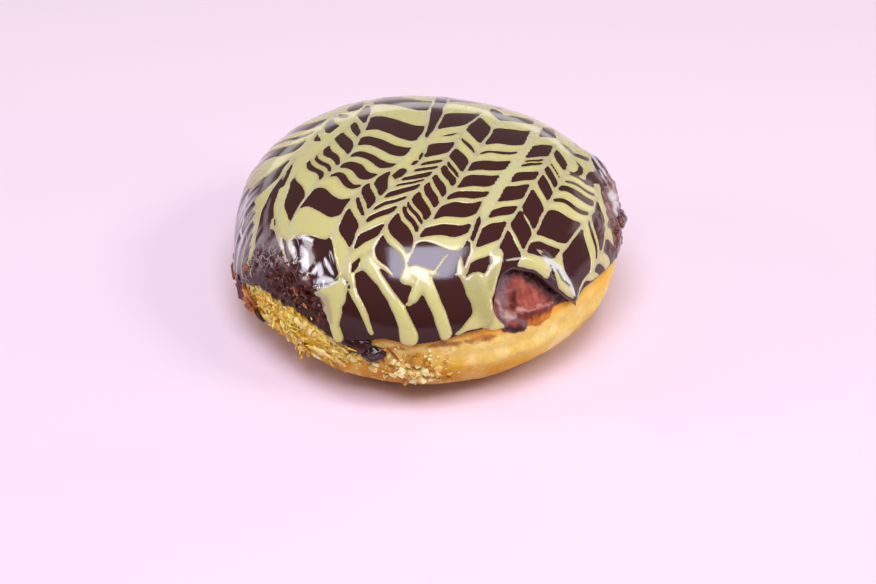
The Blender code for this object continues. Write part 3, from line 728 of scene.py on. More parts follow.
def icing_depth(x, y, drag, spine):
    """How deep in any cream a place is: the feathering inside its limits, or a drip."""
    angle = np.arctan2(y, x)
    edge_room = coat_edge(angle) / MM - EDGE_MARGIN - np.hypot(x, y)
    front_room = (y - np.interp(x, *zip(*FEATHER_FRONT))) * FRONT_STEEPNESS
    around = np.stack((angle * FINGERS_ROUND, 0 * x, 0 * x), axis=-1)
    fingers = FINGER_LENGTH * uneven(around, FINGER_SIZE, FINGER_SEED) * smooth(-x, *FINGERS_FROM)
    left_room = x - np.interp(y, *zip(*FLANK_EDGE)) + fingers
    right_room = np.interp(y, *zip(*SHOULDER_EDGE)) - x
    room = np.minimum(np.minimum(edge_room, front_room), np.minimum(left_room, right_room))
    feathers = np.minimum(feathering(x, y, drag, spine), room)
    feathers = np.minimum(feathers, -streak_depth(x, y, BARE_STREAKS))
    piped = np.minimum(np.maximum(feathers, strokes(x, y)[0]), -streak_depth(x, y, DRIP_GAPS))
    return np.maximum(piped, np.minimum(streak_depth(x, y, CREAM_LINES), edge_room))


# ---------------------------------------------------------------- mesh helpers

def deselect():
    """Leave nothing selected."""
    bpy.ops.object.select_all(action="DESELECT")


def named(name):
    """Name the new piece and its mesh."""
    piece = bpy.context.object
    piece.name = piece.data.name = name
    return piece


def coordinates(piece):
    """All vertices of a piece as an array."""
    flat = np.empty(len(piece.data.vertices) * 3)
    piece.data.vertices.foreach_get("co", flat)
    return flat.reshape(-1, 3)


def move_to(piece, points):
    """Put the vertices at new places."""
    piece.data.vertices.foreach_set("co", np.ascontiguousarray(points, dtype=float).ravel())
    piece.data.update()


def paint(piece, name, values):
    """Keep a value for each vertex as an attribute that the material reads."""
    attribute = piece.data.attributes.new(name, "FLOAT", "POINT")
    attribute.data.foreach_set("value", np.asarray(values, dtype=np.float32))


def face_out(piece):
    """Turn every face outwards."""
    bpy.context.view_layer.objects.active = piece
    bpy.ops.object.mode_set(mode="EDIT")
    bpy.ops.mesh.select_all(action="SELECT")
    bpy.ops.mesh.normals_make_consistent(inside=False)
    bpy.ops.object.mode_set(mode="OBJECT")


def finish_piece(piece, material, node):
    """Give a piece its material, smooth shading, body, slot and the solid it stands for."""
    piece.data.materials.clear()
    piece.data.materials.append(material)
    piece.data.shade_smooth()
    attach(piece, BODY)
    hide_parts(node)
    deselect()


def globe(name, steps, rings):
    """Round ball of rings and steps: ring number and angle of every vertex come with it."""
    deselect()
    bpy.ops.mesh.primitive_uv_sphere_add(segments=steps, ring_count=rings, radius=1.0)
    piece = named(name)
    points = coordinates(piece)
    ring = np.rint(np.arccos(np.clip(points[:, 2], -1, 1)) / math.pi * rings)
    return piece, ring, np.arctan2(points[:, 1], points[:, 0])


# ---------------------------------------------------------------- material helpers

def seen(*colour):
    """Linear light of a colour given as it looks, each part 0 to 255."""
    shares = [part / 255 for part in colour]
    return tuple(s / 12.92 if s <= 0.04045 else ((s + 0.055) / 1.055) ** 2.4 for s in shares)


def mottle_group():
    """Node group: soft blotches, fine grain and winding lines at a scale."""
    known = bpy.data.node_groups.get("doughnut_mottle")
    if known:
        return known
    group = bpy.data.node_groups.new("doughnut_mottle", "ShaderNodeTree")
    nodes, links = group.nodes, group.links
    for name, value in (("Scale", 200.0), ("Grain", 6.0)):
        socket = group.interface.new_socket(name, in_out="INPUT", socket_type="NodeSocketFloat")
        socket.default_value = value
    for name in ("Mask", "Height", "Lines"):
        group.interface.new_socket(name, in_out="OUTPUT", socket_type="NodeSocketFloat")
    entry, leave = nodes.new("NodeGroupInput"), nodes.new("NodeGroupOutput")
    place = nodes.new("ShaderNodeTexCoord")

    def put(kind, operation=None, **values):
        """Add a node and set its inputs."""
        node = nodes.new(kind)
        if operation:
            node.operation = operation
        for socket, value in values.items():
            node.inputs[socket.replace("_", " ")].default_value = value
        return node

    def texture(scale, detail):
        """Add a noise texture that reads the piece's own coordinates."""
        node = put("ShaderNodeTexNoise", Detail=detail)
        links.new(place.outputs["Object"], node.inputs["Vector"])
        links.new(scale, node.inputs["Scale"])
        return node.outputs["Fac"]

    finer = put("ShaderNodeMath", "MULTIPLY")
    links.new(entry.outputs["Scale"], finer.inputs[0])
    links.new(entry.outputs["Grain"], finer.inputs[1])
    blotches, grain = texture(entry.outputs["Scale"], 3.0), texture(finer.outputs[0], 4.0)
    spread = put("ShaderNodeMapRange", From_Min=0.3, From_Max=0.7)
    links.new(blotches, spread.inputs["Value"])
    shift, size = put("ShaderNodeMath", "SUBTRACT"), put("ShaderNodeMath", "ABSOLUTE")
    shift.inputs[1].default_value = 0.5
    thin = put("ShaderNodeMapRange", From_Min=0.0, From_Max=0.035, To_Min=1.0, To_Max=0.0)
    links.new(blotches, shift.inputs[0])
    links.new(shift.outputs[0], size.inputs[0])
    links.new(size.outputs[0], thin.inputs["Value"])
    for source, name in ((spread.outputs["Result"], "Mask"), (grain, "Height"),
                         (thin.outputs["Result"], "Lines")):
        links.new(source, leave.inputs[name])
    return group


class Finish:
    """A material under construction: short calls that add and join its nodes."""

    def __init__(self, name, roughness, **constants):
        self.material = bpy.data.materials.new(name)
        self.material.use_nodes = True
        self.nodes, self.links = self.material.node_tree.nodes, self.material.node_tree.links
        self.shader = self.nodes["Principled BSDF"]
        self.shader.inputs["Roughness"].default_value = roughness
        for socket, value in constants.items():
            self.shader.inputs[socket.replace("_", " ")].default_value = value

    def join(self, source, target):
        """Link a socket, or set a plain value."""
        if isinstance(source, bpy.types.NodeSocket):
            self.links.new(source, target)
        elif isinstance(source, (tuple, list)):
            target.default_value = (*source[:3], 1.0)
        else:
            target.default_value = source

    def value(self, name):
        """Attribute of the piece."""
        node = self.nodes.new("ShaderNodeAttribute")
        node.attribute_name = name
        return node.outputs["Fac"]

    def mottle(self, scale, grain=6.0, outputs=("Mask", "Height")):
        """Blotches and grain: mask and height."""
        node = self.nodes.new("ShaderNodeGroup")
        node.node_tree = mottle_group()
        node.inputs["Scale"].default_value = scale
        node.inputs["Grain"].default_value = grain
        return tuple(node.outputs[name] for name in outputs)

    def place(self, axis):
        """Place along an axis of the piece."""
        spot, parts = self.nodes.new("ShaderNodeTexCoord"), self.nodes.new("ShaderNodeSeparateXYZ")
        self.links.new(spot.outputs["Object"], parts.inputs[0])
        return parts.outputs[axis]

    def sum(self, operation, first, second, clamp=False):
        """Arithmetic on two values."""
        node = self.nodes.new("ShaderNodeMath")
        node.operation = operation
        node.use_clamp = clamp
        self.join(first, node.inputs[0])
        self.join(second, node.inputs[1])
        return node.outputs[0]

    def spread(self, value, low, high, to_low=0.0, to_high=1.0):
        """Stretch a value from one range to another."""
        node = self.nodes.new("ShaderNodeMapRange")
        node.interpolation_type = "SMOOTHSTEP"
        self.join(value, node.inputs["Value"])
        for socket, number in (("From Min", low), ("From Max", high), ("To Min", to_low),
                               ("To Max", to_high)):
            node.inputs[socket].default_value = number
        return node.outputs["Result"]

    def blend(self, share, first, second, way="MIX"):
        """Mix two colours."""
        node = self.nodes.new("ShaderNodeMix")
        node.data_type = "RGBA"
        node.blend_type = way
        node.clamp_factor = True
        self.join(share, node.inputs["Factor"])
        self.join(first, node.inputs["A"])
        self.join(second, node.inputs["B"])
        return node.outputs["Result"]

    def share(self, mask, strength):
        """A mask, or the attribute of that name, at part strength."""
        mask = self.value(mask) if isinstance(mask, str) else mask
        return self.sum("MULTIPLY", mask, strength)

    def stain(self, base, mask, strength, colour):
        """Mix a colour in where a mask is high."""
        return self.blend(self.share(mask, strength), base, colour)

    def both(self, first, share, second):
        """Average of two masks, the first with a share of it."""
        return self.sum("ADD", self.share(first, share), self.share(second, 1 - share))

    def ramp(self, value, *stops):
        """Colour ramp of (place, colour) stops."""
        node = self.nodes.new("ShaderNodeValToRGB")
        marks = node.color_ramp.elements
        while len(marks) < len(stops):
            marks.new(0.5)
        for mark, (place, colour) in zip(marks, stops):
            mark.position = place
            mark.color = (*colour, 1.0)
        self.join(value, node.inputs["Fac"])
        return node.outputs["Color"]

    def bump(self, height, distance, strength=1.0):
        """Fine relief from a height."""
        node = self.nodes.new("ShaderNodeBump")
        node.inputs["Strength"].default_value = strength
        node.inputs["Distance"].default_value = distance
        self.join(height, node.inputs["Height"])
        self.links.new(node.outputs["Normal"], self.shader.inputs["Normal"])

    def colour(self, source):
        """Colour of the surface."""
        self.join(source, self.shader.inputs["Base Color"])

    def roughness(self, source):
        """How dull the surface is."""
        self.join(source, self.shader.inputs["Roughness"])

    def gloss(self, source):
        """Weight of the clear top layer."""
        self.join(source, self.shader.inputs["Coat Weight"])


# ---------------------------------------------------------------- settings

def tone(name, description, colour):
    """Colour setting, given as it looks."""
    return FloatVectorProperty(name=name, description=description, subtype="COLOR", size=3,
                               min=0.0, max=1.0, default=seen(*colour))


class DoughnutColours(bpy.types.PropertyGroup):
    """Colours of the doughnut."""
    chocolate: tone("Chocolate", "Dark coat", (60, 28, 26))
    cream: tone("Cream", "Thick feathered cream", (203, 197, 122))
    thin_cream: tone("Thin cream", "Cream where a tine has dragged it thin", (194, 187, 146))
    pale_crust: tone("Pale crust", "Band of dough under the coat", (238, 208, 112))
    golden_crust: tone("Golden crust", "Lower dough", (214, 158, 12))
    brown_crust: tone("Brown crust", "Dough near its base", (188, 124, 0))
    flake: tone("Flake", "Golden pastry flakes", (244, 214, 88))
    nut: tone("Nut", "Chopped nuts", (240, 216, 128))
    floor: tone("Floor", "Surface the doughnut stands on", (234, 213, 222))


class DoughnutIcing(bpy.types.PropertyGroup):
    """Icing on the coat."""
    drag: FloatProperty(name="Drag", description="How far a tine carries the piped lines, in mm",
                        default=3.6, min=0.0, max=8.0)
    spine: FloatProperty(name="Spine", description="Half width of cream along a tine, in mm",
                         default=0.5, min=0.1, max=2.0)
    rise: FloatProperty(name="Rise", description="Height of the thin cream above the coat",
                        default=0.00013, min=0.0, max=0.001, unit="LENGTH", precision=5)
    wobble: FloatProperty(name="Wobble", description="Waver of a hand-drawn line, in mm",
                          default=0.3, min=0.0, max=2.0)


class DoughnutToppings(bpy.types.PropertyGroup):
    """Things stuck to the dough and the coat."""
    flakes: IntProperty(name="Flakes", description="Pastry flakes on the left front", default=240,
                        min=0, max=2000)
    clumps: IntProperty(name="Clumps", description="Clumps among the flakes", default=230, min=0,
                        max=2000)
    nuts: IntProperty(name="Nuts", description="Chopped nut pieces", default=84, min=0, max=600)
    crumbs: IntProperty(name="Crumbs", description="Fine crumbs", default=260, min=0, max=3000)
    seed: IntProperty(name="Seed", description="Seed of all random draws", default=7)


class DoughnutStage(bpy.types.PropertyGroup):
    """Camera and light."""
    distance: FloatProperty(name="Distance", description="Camera to the base of the doughnut",
                            default=0.5197, min=0.1, unit="LENGTH")
    pitch: FloatProperty(name="Pitch", description="Angle that the camera looks down at",
                         default=math.radians(36.6), subtype="ANGLE")
    roll: FloatProperty(name="Roll", description="Tilt of the picture", default=math.radians(-1.77),
                        subtype="ANGLE")
    lens: FloatProperty(name="Lens", description="Focal length in mm", default=78.08, min=10.0)
    light: FloatProperty(name="Light", description="Strength of the whole light", default=1.0,
                         min=0.0)


# ---------------------------------------------------------------- dough

DOUGH_STEPS = 680
DOUGH_HIDDEN_RINGS = 12        # under the coat
DOUGH_SHOWN_RINGS = 130
DOUGH_BASE_RINGS = 5
SHOWN_FROM = 0.043             # distance from the top at which the dough starts to show
# Painted light: the crust is painted brighter and more orange round its right side, where the lamps light
# it most
PAINTED_GLOW_ANGLE = -20.0             # where the crust is brightest, in degrees
PAINTED_GLOW_SPREAD = 17.0
PAINTED_GLOW_FADE = (2.5, 8.0)         # how far below the coat, in mm, the painted light fades out
FLAKY_START = (-170, -160)     # degrees over which the ragged stretch sets in and ends
FLAKY_END = (-118, -104)
FLAKY_TOP = (-0.001, 0.0005)   # way below the coat's edge over which it sets in
FLAKY_BOTTOM = (0.073, 0.078)  # distance from the top over which it ends
BAY_SWAY = 0.35                # how unsteady the bay's lower limit is, in mm
BAY_SWAY_SIZE = 1.3
BAY_SWAY_SEED = 19
BAY_SOFTNESS = 0.25


def flaky_share(distance, angle):
    """Share by which the dough is ragged and flaky, along the left front."""
    degrees = turned_off(angle, 0.0)
    round_way = smooth(degrees, *FLAKY_START) * (1 - smooth(degrees, *FLAKY_END))
    below = distance - coat_edge(angle)
    return round_way * smooth(below, *FLAKY_TOP) * (1 - smooth(distance, *FLAKY_BOTTOM))


def bay_share(distance, angle):
    """Share by which a place lies in the bare bay at the front right."""
    x, y = unwrapped(distance, angle)
    x, y = x / MM, y / MM
    flat = np.stack((x, y, np.zeros(len(x))), -1)
    sway = BAY_SWAY * uneven(flat, BAY_SWAY_SIZE, BAY_SWAY_SEED)
    inside = smooth(y - np.interp(x, *zip(*BAY_EDGE)) + sway, -BAY_SOFTNESS, BAY_SOFTNESS)
    degrees = turned_off(angle, 0.0)
    return inside * (degrees > BAY_SIDES[0]) * (degrees < BAY_SIDES[1]) * (distance > SHOWN_FROM)


def shown_edge(angle):
    """Distance at which the dough shows below the coat and below the bay."""
    degrees, edge = turned_off(angle, 0.0), coat_edge(angle)
    bridge = np.interp(degrees, *zip(*BELOW_BAY))
    by_bay = (degrees > BELOW_BAY[0][0]) & (degrees < BELOW_BAY[-1][0])
    return np.where(by_bay, np.maximum(bridge, edge), edge)


DOUGH_RELIEF = ((uneven, 0.00042, 0.011, 11), (uneven, 0.00020, 0.0038, 12),
                (uneven, 0.00007, 0.0015, 32))
SHREDS = ((creased, 0.0007, 0.0022, 13, (2.2, 1.0, 0.8)), (uneven, 0.0003, 0.0010, 14))
BAY_WRINKLES = ((creased, 0.00030, 0.0030, 15, (1.8, 1.0, 0.7)), (uneven, 0.00008, 0.0012, 17))
TORN_TOP = 0.00035             # roughness of the crust just below the coat
TORN_TOP_BAND = (1.4, 1.6)     # its middle and width below the coat, in mm
TORN_TOP_LUMPS = (0.0026, 33, (2.0, 1.0, 0.7))
DOUGH_CREASES = (0.030, 0.0032, 16)       # size across and down the slope, and seed
CREASE_HEIGHT = 0.00028
RELIEF_START = (0.040, 0.046)  # distance from the top over which the relief sets in
RELIEF_END = (0.0, 0.006)      # distance to the base over which it fades out


def dough_relief(distance, angle):
    """Height of the dough's own relief: swellings, torn top, shreds and the bay's wrinkles."""
    points = on_dough(distance, angle)
    x, y = unwrapped(distance, angle)
    raised = (BAY_RIDGE * mark_share(x / MM, y / MM, BAY_MARKS["bay_ridge_highlight"])
              + BAY_DAB * mark_share(x / MM, y / MM, BAY_MARKS["bay_milk"]))
    free = smooth(BUN_REACH - distance, *RELIEF_END) * smooth(distance, *RELIEF_START)
    torn_top = (hump((distance - shown_edge(angle)) / MM, *TORN_TOP_BAND)
                * creased(points, *TORN_TOP_LUMPS))
    creases = flowing(distance, angle, *DOUGH_CREASES) * CREASE_HEIGHT
    return free * (relief(points, DOUGH_RELIEF) + TORN_TOP * torn_top + creases
                   + flaky_share(distance, angle) * relief(points, SHREDS)
                   + bay_share(distance, angle) * (relief(points, BAY_WRINKLES) + raised))


def bake_dough(colours):
    """The bun: smooth lower down, ragged at the left front, stained in the bare bay."""
    rings = DOUGH_HIDDEN_RINGS + DOUGH_SHOWN_RINGS + DOUGH_BASE_RINGS
    piece, ring, angle = globe("dough_bun", DOUGH_STEPS, rings)
    stops = (0, DOUGH_HIDDEN_RINGS, DOUGH_HIDDEN_RINGS + DOUGH_SHOWN_RINGS)
    distance = np.interp(ring, stops, (0.0, SHOWN_FROM, BUN_REACH))
    placed = over_dough(distance, angle, dough_relief(distance, angle))
    base = ring > stops[-1]
    inward = 1.0 - (ring - stops[-1]) / (rings - stops[-1])
    placed[base] = on_dough(distance, angle)[base] * np.stack((inward, inward, inward * 0), -1)[base]
    placed[:, 2] = np.maximum(placed[:, 2], 0.0)
    move_to(piece, placed)
    face_out(piece)
    paint_crust(piece, distance, angle)
    finish_piece(piece, crust_material(colours), "dough")
    return piece


AGE_WAVES = (0.011, 18)        # size and seed
AGE_SPREAD = 0.16
BAY_STREAKS = (0.0011, 0.0065, 28)        # size across and down the slope, and seed
MARK_BENDS = (                 # how ragged the marks' limits are across and along, in mm
    ((uneven, 0.8, 2.6, 26), (uneven, 0.4, 0.9, 27)),
    ((uneven, 0.8, 2.6, 30), (uneven, 0.4, 0.9, 31)),
)


def paint_crust(piece, distance, angle):
    """Paint where the crust is pale, ragged, scorched or stained, where painted light brightens it, and
    where the bay has its painted shadow and highlights.
    """
    bay = bay_share(distance, angle)
    x, y = unwrapped(distance, angle)
    spots = np.stack((x, y, 0 * x), axis=-1) / MM
    bent_x, bent_y = (spots[:, axis] + relief(spots, bends) for axis, bends in enumerate(MARK_BENDS))
    below = (distance - shown_edge(angle)) / MM
    paint(piece, "below_coat", below)
    waves = AGE_SPREAD * uneven(on_dough(distance, angle), *AGE_WAVES)
    paint(piece, "age", below / pale_width(angle) + waves)
    paint(piece, "ragged", flaky_share(distance, angle))
    paint(piece, "bay_film", bay)
    paint(piece, "scorch", mark_share(bent_x, bent_y, SCORCH, 0.2, 1.5))
    # painted light on the crust's right side
    painted_glow = hump(turned_off(angle, PAINTED_GLOW_ANGLE), 0.0, PAINTED_GLOW_SPREAD)
    paint(piece, "painted_glow", painted_glow * (1 - smooth(below, *PAINTED_GLOW_FADE)))
    paint(piece, "bay_streak", 0.5 + 0.6 * flowing(distance, angle, *BAY_STREAKS))
    # The bay's marks include a painted shadow under the coat's lip and painted highlights on its ridges
    for name, marks in BAY_MARKS.items():
        paint(piece, name, bay * mark_share(bent_x, bent_y, marks, 0.1, 1.55))


PALE_WIDTHS = ((-180, 9.0), (-125, 5.5), (-95, 7.5), (-75, 10.0), (-40, 14.0), (0, 12.0), (180, 9.0))


def pale_width(angle):
    """How far below the coat, in mm, the pale band turns golden."""
    return np.interp(turned_off(angle, 0.0), *zip(*PALE_WIDTHS))


BAY_COLOURS = (                # dark and light end of each mark in the bay
    ("bay_film", (86, 26, 16), (196, 100, 80)), ("bay_rust", (60, 16, 4), (128, 46, 14)),
    # the bay's dark marks: painted shadow under the lip, and dark crust
    ("bay_crust", (160, 66, 4), (236, 150, 30)), ("bay_dark_and_shadow", (14, 4, 4), (62, 26, 24)),
    # the bay's ridges: painted highlight on raised ridges
    ("bay_grey", (66, 42, 46), (132, 106, 110)), ("bay_ridge_highlight", (160, 94, 80), (206, 156, 140)),
    ("bay_milk", (150, 124, 108), (200, 182, 162)),
)


def crust_material(colours):
    """Fried crust: pale under the coat, golden below, stained red-brown in the bay, with painted light on
    its right side, painted highlights in its pale band and a painted shadow and highlights in the bay.
    """
    look = Finish("fried_crust", 0.5, Subsurface_Weight=0.06, Subsurface_Scale=0.0015,
                  Specular_IOR_Level=0.25)
    blotches, grain = look.mottle(130.0, 9.0)
    small, _ = look.mottle(420.0)
    fine, _ = look.mottle(1100.0)
    pale, golden, brown = map(tuple, (colours.pale_crust, colours.golden_crust, colours.brown_crust))
    skin = look.ramp(look.share("age", 0.4), (0.0, pale), (0.26, pale), (0.46, golden), (0.8, brown))
    band = look.spread(look.value("age"), 0.3, 1.5, 0.75, 0.2)
    skin = look.stain(skin, small, 0.30, seen(206, 146, 14))
    # Pale patches in the band below the coat, partly painted highlight
    skin = look.stain(skin, look.spread(blotches, 0.45, 0.9), band, seen(252, 234, 168))
    skin = look.stain(skin, look.spread(fine, 0.6, 1.0), 0.35, seen(250, 228, 150))
    rim = look.spread(look.value("below_coat"), 0.3, 2.2, 0.8, 0.0)
    skin = look.blend(rim, skin, seen(226, 142, 6))
    # Painted light: brighter orange-yellow on the right side
    skin = look.stain(skin, "painted_glow", 0.8, seen(255, 194, 44))
    skin = look.stain(skin, "scorch", 0.85, look.blend(small, seen(112, 46, 6), seen(216, 128, 24)))
    skin = look.stain(skin, "ragged", 0.9, look.ramp(
        blotches, (0.0, seen(170, 104, 0)), (0.5, seen(222, 168, 14)), (1.0, seen(246, 220, 96))))
    streaked = look.blend(0.55, small, look.value("bay_streak"))
    for name, dark, light in BAY_COLOURS:
        skin = look.blend(look.value(name), skin, look.blend(streaked, seen(*dark), seen(*light)))
    look.colour(skin)
    sugary = look.sum("MAXIMUM", look.value("bay_film"), look.share("ragged", 0.7))
    look.roughness(look.spread(sugary, 0.2, 0.8, 0.6, 0.26))
    look.bump(grain, 0.00045, 0.7)
    return look.material


# ---------------------------------------------------------------- coat

COAT_STEPS = 640
COAT_RINGS = 140
COAT_RIM_RINGS = 8
COAT_UNDER_RINGS = 6
COAT_CROWDING = 0.78           # below one the rings lie closer together towards the edge
UNDER_LEVEL = -0.0002          # the coat's inner face bites into the dough
TATTERED_START = (-168, -158)  # degrees over which the tattered stretch of the edge sets in and ends
TATTERED_END = (-122, -112)
TATTERS = (0.0022, 1.0, 10)    # size across and down the slope, and seed, here and below
TATTER_REACH = 0.0008
BROAD_STREAKS = (0.0022, 0.020, 23)
FINE_STREAKS = (0.0011, 0.014, 24)
STREAK_LINES = (0.0036, 0.022, 25)


def pour_coat(colours):
    """The chocolate coat: one skin over the bun, with its crinkles, ledge and rim."""
    rings = COAT_RINGS + COAT_RIM_RINGS + COAT_UNDER_RINGS
    piece, ring, angle = globe("chocolate_skin", COAT_STEPS, rings)
    degrees = turned_off(angle, 0.0)
    tattered = smooth(degrees, *TATTERED_START) * (1 - smooth(degrees, *TATTERED_END))
    edge = coat_edge(angle) + tattered * flowing(angle * 0, angle, *TATTERS) * TATTER_REACH
    inner = edge - RIM_LENGTH
    outer_share = np.clip(ring / COAT_RINGS, 0, 1) ** COAT_CROWDING
    rim_turn = np.clip((ring - COAT_RINGS) / COAT_RIM_RINGS, 0, 1) * math.pi
    under_share = np.clip((rings - ring) / COAT_UNDER_RINGS, 0, 1)
    under = ring > COAT_RINGS + COAT_RIM_RINGS
    share = np.where(under, under_share, outer_share)
    distance = inner * share + RIM_LENGTH * np.sin(rim_turn)
    top = coat_height(np.minimum(distance, inner), angle)
    across = 0.5 + 0.5 * np.cos(rim_turn)
    height = np.where(under, UNDER_LEVEL, UNDER_LEVEL + (top - UNDER_LEVEL) * across)
    move_to(piece, over_dough(distance, angle, height))
    face_out(piece)
    x, y = unwrapped(distance, angle)
    # These marks include painted highlights, and painted shade in the creases
    for name, marks in COAT_MARKS.items():
        paint(piece, name, mark_share(x / MM, y / MM, marks) * (ring < COAT_RINGS))
    for name, share in (("torn", torn_share), ("crinkled", crinkle_share),
                        ("crumpled", crumpled_share), ("smear", smear_share)):
        paint(piece, name, share(distance, angle))
    streaks = (flowing(distance, angle, *BROAD_STREAKS)
               + 0.5 * flowing(distance, angle, *FINE_STREAKS))
    lines = 1.0 - np.minimum(np.abs(flowing(distance, angle, *STREAK_LINES)) * 3.0, 1.0)
    paint(piece, "streak", np.clip(0.62 + 0.5 * streaks - 0.6 * lines ** 2, 0, 1))
    finish_piece(piece, chocolate_material(colours), "chocolate_coat")
    return piece


def chocolate_material(colours):
    """Glossy dark chocolate, milky where cream is smeared in, reddish and dull where torn, with painted
    highlights, painted reflections and painted shade.
    """
    look = Finish("dark_chocolate", 0.2, Specular_IOR_Level=0.24, Coat_Roughness=0.12)
    blotches, grain = look.mottle(90.0, 14.0)
    fine, _ = look.mottle(900.0)
    winding, = look.mottle(520.0, outputs=("Lines",))
    patches, _ = look.mottle(300.0)
    base = look.stain(tuple(colours.chocolate), blotches, 0.5, seen(62, 22, 18))
    # Painted shade: the coat is painted darker and redder towards the bottom
    low = look.spread(look.place("Z"), 0.022, 0.037, 0.85, 0.0)
    base = look.blend(low, base, seen(46, 11, 2))
    # Cream smeared thin into the coat down the left flank, its pale silvery tones partly a painted
    # reflection
    smear_and_sheen = look.ramp(look.value("streak"), (0.0, seen(32, 12, 12)), (0.3, seen(84, 60, 60)),
                      (0.52, seen(148, 134, 134)), (0.78, seen(192, 186, 184)),
                      (1.0, seen(222, 218, 196)))
    base = look.blend(look.value("smear"), base, smear_and_sheen)
    # Crumpled film at the right shoulder: its brown is the film's own, its palest end a painted highlight
    film_and_glints = look.ramp(look.both(patches, 0.6, blotches), (0.1, seen(92, 46, 42)),
                     (0.5, seen(150, 104, 96)), (0.9, seen(212, 188, 180)))
    base = look.stain(base, "crumpled", 0.85, film_and_glints)
    base = look.blend(look.value("brown_film"), base,
                      look.blend(fine, seen(66, 26, 24), seen(126, 74, 64)))
    base = look.stain(base, "veil", 0.8, look.blend(blotches, seen(104, 80, 82), seen(158, 144, 136)))
    # Painted reflection: pale winding lines on the crinkles stand in for the lamps' glints in them
    base = look.stain(base, "crinkled", 0.9, look.blend(winding, seen(62, 20, 14), seen(190, 172, 166)))
    torn = look.ramp(fine, (0.0, seen(34, 8, 3)), (0.6, seen(58, 18, 9)), (1.0, seen(122, 56, 30)))
    torn = look.stain(torn, winding, 0.3, seen(110, 66, 54))
    base = look.blend(look.spread(look.value("torn"), 0.25, 0.6), base, torn)
    # Painted highlight: pale where the lamps would shine on the coat
    base = look.stain(base, "painted_sheen", 0.92, look.blend(blotches, seen(190, 184, 188), seen(232, 228, 226)))
    # Painted shade: dark lines in the creases
    base = look.stain(base, "crease_shade", 0.9, seen(48, 32, 34))
    look.colour(base)
    look.roughness(look.spread(look.value("torn"), 0.2, 0.8, 0.10, 0.2))
    high = look.spread(look.place("Z"), 0.020, 0.036, 0.0, 0.62)
    whole = look.spread(look.value("torn"), 0.2, 0.6, 1.0, 0.25)
    look.gloss(look.sum("ADD", look.share(high, whole), look.value("painted_sheen"), clamp=True))
    look.bump(grain, 0.00010, 0.2)
    return look.material


# ---------------------------------------------------------------- cream

SHEET_HALF = 62.0              # half side of the sheet that the feathering is cut from, mm
SHEET_COLUMNS = 250
SHEET_ROWS = 330
FINE_UNTIL = 12.0              # the rows are finer in front of this y
FINE_SHARE = 0.74
CREAM_EDGE = 0.45              # width over which the cream's edge rounds off, mm
CREAM_SINK = 0.00005           # how far its boundary lies in the coat
CREAM_DEPTH = 0.0003
DRIP_FALL = 0.0009             # half way over which a drip falls past the coat's edge
SHEET_DEPTHS = (-3, 6)         # limits that the sheet's depths are held within, mm
DRAGGED_WIDTH = 0.8            # how wide a tine's greyer line is, mm
DRIP_RISE = 0.25               # past this rise, in mm, the cream is a drip and has no such line
FULL_DEPTH = 1.4               # how deep in, in mm, the cream has its full body


def cream_level(distance, angle):
    """Height above the dough of what the cream lies on: the coat, or the dough past its edge."""
    inside = smooth(coat_edge(angle) + DRIP_FALL - distance, 0.0, 2 * DRIP_FALL)
    return coat_height(np.minimum(distance, coat_edge(angle)), angle) * inside


def blur(table):
    """Average every entry with its neighbours."""
    padded = np.pad(table, 1, mode="edge")
    down = (padded[:-2] + 2 * padded[1:-1] + padded[2:]) / 4
    return (down[:, :-2] + 2 * down[:, 1:-1] + down[:, 2:]) / 4


def pipe_cream(colours, icing):
    """The feathered cream: a fine sheet cut along the pattern and laid on the coat."""
    deselect()
    bpy.ops.mesh.primitive_grid_add(x_subdivisions=SHEET_COLUMNS, y_subdivisions=SHEET_ROWS, size=2.0)
    piece = named("cream_feathering")
    points = coordinates(piece)
    x = points[:, 0] * SHEET_HALF
    share = points[:, 1] * 0.5 + 0.5
    y = np.interp(share, (0.0, FINE_SHARE, 1.0), (-SHEET_HALF, FINE_UNTIL, SHEET_HALF))
    depth = icing_depth(*wavered(x, y, icing.wobble), icing.drag, icing.spine)
    columns = len(np.unique(np.round(points[:, 0], 6)))
    depth = blur(np.clip(depth, *SHEET_DEPTHS).reshape(-1, columns)).ravel()
    move_to(piece, np.stack((x, y, depth), axis=-1))
    bpy.ops.object.mode_set(mode="EDIT")
    bpy.ops.mesh.select_all(action="SELECT")
    bpy.ops.mesh.bisect(plane_co=(0, 0, 0), plane_no=(0, 0, 1), clear_inner=True)
    bpy.ops.object.mode_set(mode="OBJECT")
    lay_cream(piece, icing)
    thicken = piece.modifiers.new("depth", "SOLIDIFY")
    thicken.thickness = CREAM_DEPTH
    thicken.offset = -1.0
    thicken.use_even_offset = False
    bpy.ops.object.modifier_apply(modifier=thicken.name)
    finish_piece(piece, cream_material(colours), "chocolate_coat")
    return piece


